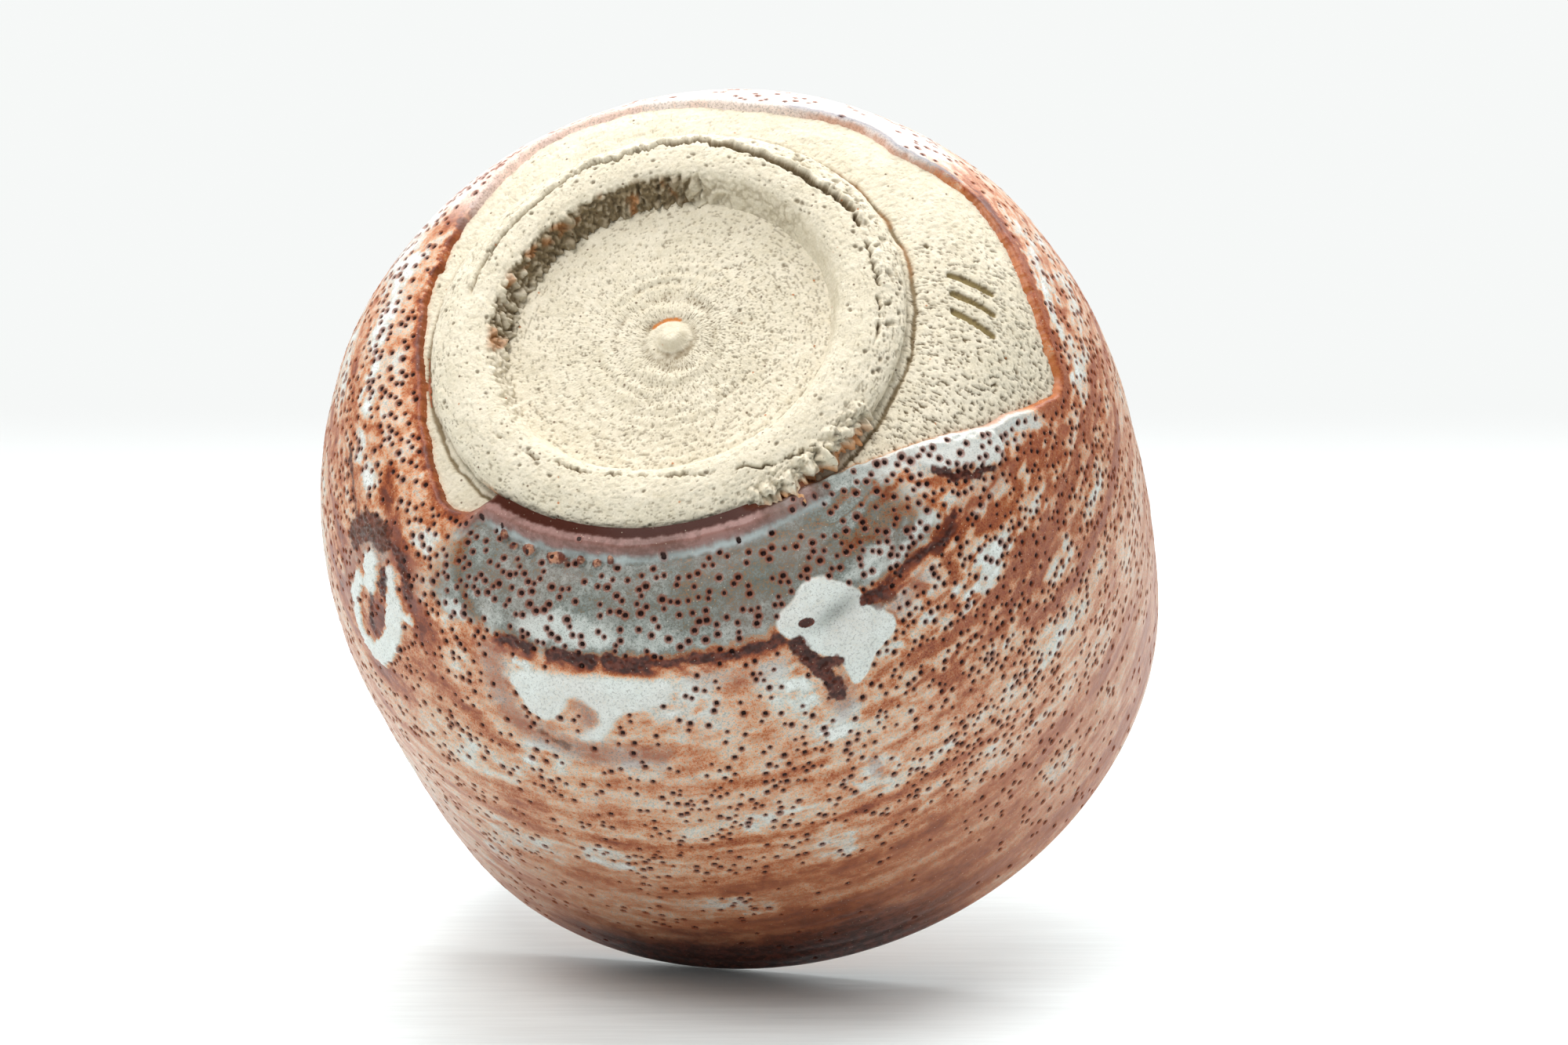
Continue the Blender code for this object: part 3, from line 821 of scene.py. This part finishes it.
def stroke(lathe, degrees, radius, length, width, turn):
    """A short straight groove in the underside, as a mask."""
    along = lathe.at_radius(radius)
    across = np.radians(apart(lathe.DEG, degrees)) * lathe.RADIUS
    up = lathe.ALONG - along
    c, s = math.cos(math.radians(turn)), math.sin(math.radians(turn))
    past_end = np.maximum(np.abs(across * c + up * s) - length / 2, 0)
    return step(1.1, 0.5, np.hypot(past_end, up * c - across * s) / (width / 2))


def press_pores(lathe, seed, tries, wanted, spacing, raised, grain):
    """Presses small ragged pores into raised, and returns them as a mask."""
    places = scattered(lathe, seed, tries, np.clip(wanted, 0, 1), spacing)
    sizes = 0.09 + 0.26 * np.random.default_rng(seed + 1).random(len(places)) ** 5
    mask = np.zeros(lathe.shape)
    for (window, away), size in zip(stamp(lathe, places, sizes, 1.8, 1.3), sizes):
        away = away + 0.35 * grain[window]
        raised[window] -= 1.1 * size * step(1.3, 0.2, away)
        mask[window] = np.maximum(mask[window], step(1.4, 0.6, away))
    return mask


def clay_line():
    """The floor, the seat under the foot, the bare apron, and the wall inside the glaze, as one line."""
    outside, inside = np.array(outside_line()), np.array(inside_line())
    buried = outside - rightward(outside) * COAT
    buried_inside = (inside - rightward(inside) * COAT)[18::6]
    low = buried[:, 1] < 20
    floor = spaced([(0.12, FOOT_SEAT), (25.6, FOOT_SEAT)], 0.22)
    seat = np.linspace((26.6, FOOT_SEAT), (31.5, FOOT_SEAT), 4)
    apron = spaced(np.concatenate([[(32.0, FOOT_SEAT - 0.1)], buried[low]]), 0.2)
    return np.concatenate([floor, seat, apron, buried[~low][::8], buried_inside])


def clay_body():
    """The underside beside the foot, the floor inside the foot, and the wall that the glaze hides."""
    lathe = Lathe(clay_line(), CLAY_COLUMNS)
    radius, deg, z = lathe.RADIUS, lathe.DEG, lathe.Z
    place = lathe.points()
    on_floor = step(26, 25, radius) * (z < 6)
    on_apron = step(31, 33, radius) * (z < 20)
    visible = np.clip(on_floor + on_apron, 0, 1)

    grain = rough(place / 0.9, 201, 3, 0.75)
    lumps = rough(place / 4.0, 211, 3)
    sweep = lathe.streaked(0.7, 0.26, 14)
    dashes = tears(sweep, 221, 0.03 + 0.1 * between(deg, 160, 290, 50)) * on_floor * step(2.6, 5, radius)
    gashes = tears(lathe.streaked(0.36, 1.0, 44), 231, 0.1 * between(deg, 196, 238, 12)) * on_apron
    torn = on_apron * (0.3 + 0.7 * between(deg, 184, 246, 14) * step(33, 38, radius))
    turned = np.sin(radius * 3.6 + 1.2 * rough(place / 9.0, 241, 2)) * on_floor * step(4, 9, radius)
    raised = 0.085 * grain + 0.14 * lumps + 0.04 * turned - 0.14 * dashes
    raised = raised - 0.34 * gashes * torn + on_apron * 0.05 * rough(lathe.streaked(6, 0.9), 251, 3)

    # The nub that the turning tool leaves, with its swirl, and the shallow dish around it.
    swirl = np.radians(deg) + radius * 1.7
    nub = 1.2 * hill(radius**2 / 1.8, 1.8) + 0.45 * np.cos(swirl) * hill(radius - 2.0, 1.2)
    ripple = 0.22 * np.cos(swirl - 0.2 * radius + lumps) * hill(radius - 6.2, 2.0)
    moat = 0.3 * hill(radius - 3.6, 0.9) + ripple
    rings = 0.1 * np.cos(math.tau * radius / 2.3 + np.radians(deg) + 2 * lumps) * hill(radius - 11, 5)
    raised = raised + on_floor * (nub - moat + rings + 0.35 * step(14, 25, radius))

    wanted = visible * (0.12 + 0.3 * step(-0.2, 0.5, lumps) + 0.25 * torn)
    # Pores pressed into the clay. They, the tears and the dents are darkened with painted shade.
    pore = press_pores(lathe, 15, 7000, wanted, 0.8, raised, grain)

    groove = hill(radius - 35.4 - 0.4 * lumps, 0.35) * on_apron
    raised = raised - 0.5 * groove
    mark = union(*(
        stroke(lathe, degrees, MARK_RADIUS, MARK_LENGTH, MARK_WIDTH, MARK_TURN) for degrees in MARK_DEGREES
    ))
    raised = raised * (1 - 0.8 * mark) - 0.75 * mark
    raised = raised * visible

    arc = hill(radius - 3.4, 0.5) * between(deg, 62, 128, 14)
    stain = on_floor * step(0.35, 0.8, arc + 0.25 * grain)
    hairline = groove * between(deg, 150, 184, 8) * step(-0.3, 0.3, lumps + 0.4)
    toasted = on_apron * step(0.6, -0.1, 0.25 * grain - glaze_edge(lathe) - 0.2)
    clay = lathe.mesh("clay_wall_and_floor", lathe.points(raised), centre="first")
    # Painted shade: the clay is coloured darker brown wherever it lies below its turned line, in tears,
    # grooves, pores and the strokes.
    paint(
        clay, pore=union(pore, 0.75 * dashes, 0.9 * gashes * torn), mark=mark * on_apron,
        stain=union(stain, 0.3 * hairline), sunk=np.clip(-2 * raised, 0, 1),
        toasted=toasted * (0.9 - 0.6 * between(deg, 330, 128)),
    )
    return clay


def foot_line():
    """The foot's outline, from the recess's floor over the standing face to where it meets the underside."""
    outline = [
        (23.2, 5.25), (23.7, 4.4), (24.4, 2.6), (25.2, 0.9), (25.9, 0.22), (26.8, 0), (29.4, 0),
        (30.4, 0.12), (31.4, 0.55), (32.8, 1.25), (33.9, 1.95), (34.55, 2.6), (34.7, 3.3), (34.5, 4.1),
        (34.2, 4.9), (30, 5.1),
    ]
    smooth = spaced(outline, 0.9 / COARSE)
    for _ in range(2):
        smooth[1:-1] = (smooth[:-2] + 2 * smooth[1:-1] + smooth[2:]) / 4
    return spaced(smooth, 0.18)


def torn_fold(lathe, lumps):
    """The fold round the foot as a mask, and the ragged flap along its outer side."""
    round_foot = lathe.degrees
    path = np.interp(round_foot, *np.array(FOLD, float).T)
    jagged = 0.3 + 1.3 * between(round_foot, 82, 118, 5) + 0.5 * between(round_foot, 150, 200, 8)
    path = path + 0.5 * jagged * rough(on_circle(round_foot, 190), 341, 3, 0.6)
    wide = 0.2 + 0.14 * rough(on_circle(round_foot, 90), 351, 2) + 0.24 * between(round_foot, 112, 166, 8)
    reach = between(round_foot, 38, 206, 8) * (0.6 + 0.4 * between(round_foot, 84, 166, 10))
    gaps = step(-0.1, 0.35, rough(on_circle(round_foot, 80), 361, 2))
    broken = 1 - between(round_foot, 168, 210, 6) * gaps
    below = lathe.Z < 3.5
    fold = hill(lathe.RADIUS - path, np.maximum(wide, 0.16)) * (reach * broken) * below
    flap = hill(lathe.RADIUS - path - 0.75, 0.55) * (reach * broken) * below
    return fold, flap * (0.7 + 0.9 * lumps)


def rim_crack(lathe, ragged):
    """The crack in the foot's standing face, as a mask. It shows where ragged is high."""
    path = np.interp(lathe.degrees, *np.array(RIM_CRACK, float).T)
    path = path + 0.7 * rough(on_circle(lathe.degrees, 110), 371, 3, 0.6)
    shown = between(lathe.DEG, 247, 338, 6) * (lathe.Z < 1.5)
    return hill(lathe.RADIUS - path, 0.24) * shown * step(-0.5, 0.1, ragged)


def foot_ring():
    """The turned foot, with the fold that tore round it and the crumbled inside of its recess."""
    lathe = Lathe(foot_line(), CLAY_COLUMNS)
    radius, deg, z = lathe.RADIUS, lathe.DEG, lathe.Z
    place = lathe.points()
    grain = rough(place / 0.85, 301, 3, 0.75)
    lumps = rough(place / 3.4, 311, 3)
    chunks = np.abs(rough(place / np.array([1.9, 1.9, 2.2]), 321, 2, 0.6))
    chunks = chunks + 0.5 * np.abs(rough(place / 0.9, 325, 2))
    inner = step(26.2, 25.0, radius) * (z < 5.2)
    outer = step(30.8, 32.5, radius)
    flat = 1 - inner
    gashes = tears(lathe.streaked(1.0, 0.34, 30), 331, 0.08 * between(deg, 150, 300, 30)) * flat
    raised = 0.08 * grain + 0.14 * lumps - 0.12 * gashes * (0.6 + 0.4 * outer)

    crumbled = inner * union(between(deg, 22, 110, 12), 0.45 * between(deg, 350, 118, 20))
    raised = raised + crumbled * (1.5 * chunks - 0.75)
    for turn in WALL_CRACKS:
        wander = 0.5 * rough(place / 2.0, 335, 2)
        crack = hill(np.radians(apart(deg, turn)) * radius + wander, 0.28)
        raised = raised - 0.8 * crack * inner * step(4.8, 3.8, z)

    fold, flap = torn_fold(lathe, lumps)
    raised = raised - 2.0 * fold + 0.5 * flap
    crack = rim_crack(lathe, lumps + 0.4 * grain)
    raised = raised - 0.8 * crack
    dents = step(0.25, 0.6, rough(place / 1.6, 381, 2)) * hill(radius - 32.4, 1.0)
    dents = dents * between(deg, 146, 206, 10)
    raised = raised - 0.7 * dents
    overhang = outer * between(deg, 232, 262, 5) * step(0.5, 1.8, z)
    raised = raised + overhang * (3.0 * np.abs(rough(place / 2.6, 391, 3, 0.6)) - 0.4)
    raised = np.where(z < 0.3, np.minimum(raised, 0.16), raised)

    wanted = flat * (0.12 + 0.35 * step(-0.2, 0.5, lumps) + 0.4 * outer * between(deg, 140, 260, 16))
    # Pores pressed into the foot. They, the tears and the dents are darkened with painted shade.
    pore = press_pores(lathe, 25, 6500, wanted, 0.7, raised, grain)

    # Painted shade on the foot: darker brown in the fold, the crack and the crumbled recess wall, most on the
    # wall's top side, which faces away from the light.
    recess = union(crumbled, 0.55 * inner * between(deg, 70, 150, 30))
    depth = 0.5 + 0.25 * between(deg, 58, 112, 14) + 0.5 * step(0.6, 0.15, chunks)
    browned = inner * between(deg, 12, 104, 10) * step(0.2, 0.7, rough(place / 3.0, 395, 2))
    foot = lathe.mesh("foot", lathe.points(raised))
    paint(
        foot, pore=union(pore, 0.75 * gashes * (0.5 + 0.5 * outer), 0.8 * dents), mark=0 * z,
        stain=0.55 * browned, sunk=np.clip(1.9 * fold + 0.9 * crack + recess * depth, 0, 1),
        toasted=outer * between(deg, 236, 330, 7) * step(2.5, 3.6, z + 0.4 * grain),
    )
    return foot


# ---------------------------------------------------------------- materials


class Shader:
    """A small helper that adds and links nodes of one material."""

    def __init__(self, name):
        self.material = bpy.data.materials.new(name)
        self.material.use_nodes = True
        self.tree = self.material.node_tree
        self.surface = self.tree.nodes["Principled BSDF"]
        self.place = self.add("ShaderNodeTexCoord").outputs["Object"]

    def add(self, kind, **settings):
        node = self.tree.nodes.new(kind)
        for name, value in settings.items():
            setattr(node, name, value)
        return node

    def put(self, socket, value):
        if isinstance(value, bpy.types.NodeSocket):
            self.tree.links.new(value, socket)
        elif socket.type == "RGBA":
            socket.default_value = (*value, 1.0)
        else:
            socket.default_value = value

    def mask(self, name):
        return self.add("ShaderNodeAttribute", attribute_name=name).outputs["Fac"]

    def noise(self, size_mm, detail=3.0, roughness=0.55, squash=(1, 1, 1)):
        """Noise from 0 to 1 with features of about this size."""
        scaled = self.add("ShaderNodeVectorMath", operation="MULTIPLY")
        self.put(scaled.inputs[0], self.place)
        scaled.inputs[1].default_value = [share / (size_mm * MM) for share in squash]
        node = self.add("ShaderNodeTexNoise")
        self.put(node.inputs["Vector"], scaled.outputs[0])
        node.inputs["Scale"].default_value = 1.0
        node.inputs["Detail"].default_value = detail
        node.inputs["Roughness"].default_value = roughness
        return node.outputs["Fac"]

    def dots(self, spacing_mm, size):
        """1 in small round dots about this far apart, and 0 between them."""
        node = self.add("ShaderNodeTexVoronoi")
        self.put(node.inputs["Vector"], self.place)
        node.inputs["Scale"].default_value = 1 / (spacing_mm * MM)
        return self.ramp(node.outputs["Distance"], size, size * 0.4)

    def ramp(self, value, low, high, to_low=0.0, to_high=1.0):
        node = self.add("ShaderNodeMapRange", interpolation_type="SMOOTHSTEP")
        self.put(node.inputs["Value"], value)
        for name, number in zip(("From Min", "From Max", "To Min", "To Max"), (low, high, to_low, to_high)):
            node.inputs[name].default_value = number
        return node.outputs["Result"]

    def stops(self, value, colours):
        """A colour that runs through these (position, screen colour) stops as value goes from 0 to 1."""
        node = self.add("ShaderNodeValToRGB")
        self.put(node.inputs["Fac"], value)
        elements = node.color_ramp.elements
        while len(elements) < len(colours):
            elements.new(0.5)
        for element, (position, colour) in zip(elements, colours):
            element.position = position
            element.color = (*srgb(*colour), 1.0)
        return node.outputs["Color"]

    def math(self, operation, first, second):
        node = self.add("ShaderNodeMath", operation=operation)
        self.put(node.inputs[0], first)
        self.put(node.inputs[1], second)
        return node.outputs[0]

    def mix(self, share, first, second, blend="MIX"):
        node = self.add("ShaderNodeMix", data_type="RGBA", blend_type=blend)
        colours = [socket for socket in node.inputs if socket.type == "RGBA"]
        self.put(node.inputs["Factor"], share)
        self.put(colours[0], first)
        self.put(colours[1], second)
        return next(socket for socket in node.outputs if socket.type == "RGBA")

    def lay(self, colour, mask, share, over):
        """Lays another colour over this one, where a mask on the mesh is high."""
        return self.mix(self.math("MULTIPLY", self.mask(mask), share), colour, over)

    def bump(self, height, depth_mm, strength):
        node = self.add("ShaderNodeBump")
        node.inputs["Distance"].default_value = depth_mm * MM
        node.inputs["Strength"].default_value = strength
        self.put(node.inputs["Height"], height)
        self.put(self.surface.inputs["Normal"], node.outputs["Normal"])


# Screen colours, as the shader's stops or as layers of (mask, share, colour).
GLAZE_STOPS = [
    (0.02, (92, 38, 18)), (0.18, (138, 62, 28)), (0.34, (178, 102, 58)), (0.48, (210, 154, 116)),
    (0.6, (220, 190, 164)), (0.72, (206, 204, 194)), (0.86, (216, 220, 215)), (1.0, (235, 238, 234)),
]
SLATE_STOPS = [
    (0.1, (84, 36, 16)), (0.34, (122, 68, 38)), (0.52, (124, 106, 84)), (0.64, (98, 104, 98)),
    (0.8, (146, 151, 145)), (1.0, (206, 210, 205)),
]
# Of these tints, the pale top is partly a painted highlight and the grey one is painted shade.
TINTS = [("mauve", 0.66, (138, 90, 80)), ("pale_top_and_highlight", 0.7, (246, 226, 216)), ("shade", 0.6, (104, 110, 104))]
EDGE_STAINS = [
    ("frost", 0.75, (190, 199, 199)), ("seam", 0.97, (58, 22, 10)), ("lip", 0.8, (186, 112, 60)),
    ("blue", 0.8, (74, 82, 98)),
]
CLAY_DOTS = [(2.6, 0.1, (88, 58, 34)), (4.4, 0.06, (178, 106, 52))]


def glaze_material():
    s = Shader("mottled_glaze")
    speck = s.noise(0.34, 2.0, 0.8)
    mottle = s.noise(1.3, 3.0, 0.65)
    drift = s.noise(10.0, 3.0)
    thick = s.math("ADD", s.mask("thick"), s.ramp(speck, 0.3, 0.7, -0.15, 0.15))
    thick = s.math("ADD", thick, s.ramp(mottle, 0.3, 0.7, -0.05, 0.05))
    colour = s.mix(s.mask("cool"), s.stops(thick, GLAZE_STOPS), s.stops(thick, SLATE_STOPS))
    colour = s.lay(colour, "pink", 0.36, srgb(176, 122, 92))
    colour = s.mix(s.ramp(drift, 0.35, 0.7, 0.0, 0.12), colour, srgb(190, 130, 110))
    for mask, share, over in TINTS:
        colour = s.lay(colour, mask, share, srgb(*over))
    colour = s.mix(s.ramp(speck, 0.42, 0.7, 0.0, 0.6), colour, srgb(124, 118, 108), "MULTIPLY")
    colour = s.mix(s.ramp(s.mask("halo"), 0.05, 0.95, 0.0, 0.7), colour, srgb(132, 60, 28))

    # The dark mask is iron, crinkled glaze and the patch by the lip, which is partly painted shade.
    iron = s.mix(s.ramp(mottle, 0.42, 0.62), srgb(58, 24, 14), srgb(98, 48, 34))
    colour = s.mix(s.ramp(s.mask("dark"), 0.1, 0.75), colour, iron)
    swept = s.mix(s.ramp(s.math("ADD", mottle, drift), 0.8, 1.2), srgb(112, 70, 60), srgb(148, 104, 96))
    colour = s.lay(colour, "roll", 0.85, swept)
    for mask, share, over in EDGE_STAINS:
        colour = s.lay(colour, mask, share, srgb(*over))
    rusted = s.mix(s.ramp(mottle, 0.45, 0.6), srgb(96, 36, 14), srgb(176, 122, 92))
    colour = s.mix(s.ramp(s.mask("bumps"), 0.05, 0.35, 0.0, 0.9), colour, rusted)
    colour = s.mix(s.ramp(s.mask("hole"), 0.2, 0.9), colour, srgb(44, 18, 12))
    colour = s.mix(s.math("MULTIPLY", s.dots(0.9, 0.13), 0.3), colour, srgb(244, 226, 200))
    s.put(s.surface.inputs["Base Color"], colour)

    shine = s.math("SUBTRACT", s.mask("hole"), s.ramp(s.mask("dark"), 0.3, 0.9, 0.0, 0.3))
    s.put(s.surface.inputs["Roughness"], s.ramp(s.math("ADD", shine, speck), 0.1, 1.4, 0.34, 0.6))
    s.put(s.surface.inputs["Specular IOR Level"], s.ramp(s.mask("seam"), 0.0, 0.8, 0.24, 0.02))
    s.surface.inputs["Coat Weight"].default_value = 0.06
    s.surface.inputs["Coat Roughness"].default_value = 0.15
    s.bump(s.math("ADD", speck, s.math("MULTIPLY", mottle, 1.2)), 0.05, 0.6)
    return s.material


def clay_material():
    s = Shader("bare_stoneware")
    grain = s.noise(0.3, 3.0, 0.7)
    tint = s.noise(1.2, 3.0, 0.6)
    blotch = s.noise(6.0, 4.0, 0.6)
    colour = s.mix(s.ramp(blotch, 0.3, 0.7), srgb(215, 205, 184), srgb(203, 193, 170))
    colour = s.mix(s.ramp(tint, 0.4, 0.75, 0.0, 0.4), colour, srgb(190, 176, 146))
    colour = s.mix(s.ramp(grain, 0.35, 0.7, 0.0, 0.4), colour, srgb(234, 226, 208))
    # Painted shade: darker brown where the clay is pressed in.
    colour = s.mix(s.ramp(s.mask("sunk"), 0.15, 1.0, 0.0, 0.85), colour, srgb(106, 84, 46))
    colour = s.mix(s.ramp(s.mask("mark"), 0.2, 0.9, 0.0, 0.65), colour, srgb(158, 140, 92))
    # Painted shade in the pores, tears and dents.
    colour = s.lay(colour, "pore", 0.72, srgb(104, 88, 62))
    for spacing, size, dot in CLAY_DOTS:
        colour = s.mix(s.math("MULTIPLY", s.dots(spacing, size), 0.8), colour, srgb(*dot))
    colour = s.mix(s.mask("stain"), colour, srgb(180, 112, 56))
    colour = s.lay(colour, "toasted", 0.8, srgb(200, 134, 76))
    s.put(s.surface.inputs["Base Color"], colour)
    s.surface.inputs["Roughness"].default_value = 0.9
    s.surface.inputs["Specular IOR Level"].default_value = 0.25
    s.bump(s.math("ADD", grain, tint), 0.1, 0.9)
    return s.material


def table_material():
    """A pale sheet that fades out behind the bowl. It is clear from below, so it hides nothing from there."""
    s = Shader("pale_table")
    brushed = s.noise(1.6, 4.0, 0.7, squash=(0.05, 1, 1))
    colour = s.mix(s.ramp(brushed, 0.3, 0.7), srgb(224, 231, 232), srgb(234, 241, 242))
    s.put(s.surface.inputs["Base Color"], colour)
    s.put(s.surface.inputs["Roughness"], s.ramp(brushed, 0.3, 0.7, 0.3, 0.42))
    along = s.add("ShaderNodeSeparateXYZ")
    s.put(along.inputs[0], s.place)
    fade = s.ramp(along.outputs["Y"], 0.2, 0.5)
    either = s.add("ShaderNodeMixShader")
    s.put(either.inputs[0], s.math("MAXIMUM", fade, s.add("ShaderNodeNewGeometry").outputs["Backfacing"]))
    s.put(either.inputs[1], s.surface.outputs[0])
    s.put(either.inputs[2], s.add("ShaderNodeBsdfTransparent").outputs[0])
    s.put(s.tree.nodes["Material Output"].inputs["Surface"], either.outputs[0])
    return s.material


# ---------------------------------------------------------------- table, light and camera

# The bowl is tipped so that its axis leans this far from the line of sight, then rolled in the picture.
TILT, ROLL = math.radians(35.6), math.radians(20.0)
VIEW_DISTANCE, VIEW_RIGHT, VIEW_UP, LENS = 700.0, 17.2, -29.0, 113.96
TABLE_RISE = math.radians(11.0)  # how far above the table the camera looks from
TABLE_HALF = 9.0  # metres
TABLE_GAP = 0.0001  # metres under the rim


def view_axes():
    """Right, up and backward of the camera, in the bowl's frame."""
    back = Vector((0, -math.sin(TILT), -math.cos(TILT)))
    upward = Vector((0, math.cos(TILT), -math.sin(TILT)))
    sideways = Vector((-1, 0, 0))
    right = math.cos(ROLL) * sideways - math.sin(ROLL) * upward
    up = math.sin(ROLL) * sideways + math.cos(ROLL) * upward
    return right, up, back


def place_camera():
    right, up, back = view_axes()
    camera = bpy.data.objects.new("view", bpy.data.cameras.new("view"))
    camera.data.sensor_width = 36
    camera.data.lens = LENS
    camera.data.clip_start, camera.data.clip_end = 0.01, 60
    where = (back * VIEW_DISTANCE + right * VIEW_RIGHT + up * VIEW_UP) * MM
    camera.matrix_world = Matrix.Translation(where) @ Matrix((right, up, back)).transposed().to_4x4()
    bpy.context.scene.collection.objects.link(camera)
    bpy.context.scene.camera = camera


def table_axes():
    """Right, the table's upward normal, and towards the camera along the table."""
    right, up, back = view_axes()
    normal = (math.cos(TABLE_RISE) * up + math.sin(TABLE_RISE) * back).normalized()
    return right, normal, right.cross(normal).normalized()


def lowest_point(piece, normal):
    """The piece's lowest point over the table."""
    coords = np.empty(len(piece.data.vertices) * 3, np.float32)
    piece.data.vertices.foreach_get("co", coords)
    coords = coords.reshape(-1, 3)
    return Vector(coords[int((coords @ np.array(normal, np.float32)).argmin())].tolist())


def place_table(contact):
    right, normal, toward = table_axes()
    mesh = bpy.data.meshes.new("table")
    corners = [(-1, -1), (1, -1), (1, 1), (-1, 1)]
    mesh.from_pydata([(x * TABLE_HALF, y * TABLE_HALF, 0) for x, y in corners], [], [(0, 1, 2, 3)])
    mesh.materials.append(table_material())
    table = bpy.data.objects.new("table", mesh)
    turn = Matrix((right, -toward, normal)).transposed().to_4x4()
    table.matrix_world = Matrix.Translation(contact - normal * TABLE_GAP) @ turn
    bpy.context.scene.collection.objects.link(table)


# The lights aim at a point in the bowl. Each is given by how far it is to the right of that point, above it
# and nearer the camera, then by its width, all in metres, and its power in watts.
LIGHT_AIM = Vector((0, 0, 0.04))
LIGHTS = {"key": (-0.3, 0.9, 0.42, 0.45, 7.4), "rim": (0.15, 0.95, -0.5, 1.2, 19)}
SEEN_BRIGHTNESS = 0.94  # of the room, as the camera sees it


def soft_light(name, side, rise, near, width, power):
    """A square light that faces the point it aims at."""
    right, normal, toward = table_axes()
    light = bpy.data.lights.new(name, "AREA")
    light.size = width
    light.energy = power
    obj = bpy.data.objects.new(name, light)
    offset = right * side + normal * rise + toward * near
    obj.location = LIGHT_AIM + offset
    obj.rotation_euler = offset.to_track_quat("Z", "Y").to_euler()
    bpy.context.scene.collection.objects.link(obj)


def studio():
    """A white room that is brightest above and behind the bowl, and dimmer behind the camera."""
    world = bpy.data.worlds.new("studio")
    world.use_nodes = True
    tree = world.node_tree
    _, normal, toward = table_axes()
    direction = tree.nodes.new("ShaderNodeTexCoord").outputs["Generated"]

    def lit(axis, low, high, dim, bright):
        """Brightness that goes from dim to bright as the direction turns along an axis."""
        dot = tree.nodes.new("ShaderNodeVectorMath")
        dot.operation = "DOT_PRODUCT"
        tree.links.new(direction, dot.inputs[0])
        dot.inputs[1].default_value = axis
        ramp = tree.nodes.new("ShaderNodeMapRange")
        tree.links.new(dot.outputs["Value"], ramp.inputs["Value"])
        for name, number in zip(("From Min", "From Max", "To Min", "To Max"), (low, high, dim, bright)):
            ramp.inputs[name].default_value = number
        return ramp.outputs["Result"]

    total = tree.nodes.new("ShaderNodeMath")
    total.operation = "ADD"
    tree.links.new(lit(-toward, -0.6, 0.9, 0.2, 0.95), total.inputs[0])
    tree.links.new(lit(normal, 0.1, 1.0, 0.0, 0.3), total.inputs[1])
    rays = tree.nodes.new("ShaderNodeLightPath").outputs["Is Camera Ray"]
    seen = tree.nodes.new("ShaderNodeMix")
    tree.links.new(rays, seen.inputs["Factor"])
    tree.links.new(total.outputs[0], seen.inputs["A"])
    seen.inputs["B"].default_value = SEEN_BRIGHTNESS
    background = tree.nodes["Background"]
    background.inputs["Color"].default_value = (*srgb(253, 255, 254), 1)
    tree.links.new(seen.outputs["Result"], background.inputs["Strength"])
    bpy.context.scene.world = world


def light_scene():
    for name, place in LIGHTS.items():
        soft_light(name, *place)
    studio()
    bpy.context.scene.view_settings.view_transform = "Standard"


# ---------------------------------------------------------------- build

glaze_look, clay_look = glaze_material(), clay_material()
pieces = [
    (outer_glaze(), "outer_glaze", glaze_look),
    (inner_glaze(), "inner_glaze", glaze_look),
    (clay_body(), "clay_body", clay_look),
    (foot_ring(), "foot_ring", clay_look),
]
for piece, node, look in pieces:
    piece.data.materials.append(look)
    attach(piece, "root")
    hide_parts(node)

place_camera()
place_table(lowest_point(pieces[0][0], table_axes()[1]))
light_scene()
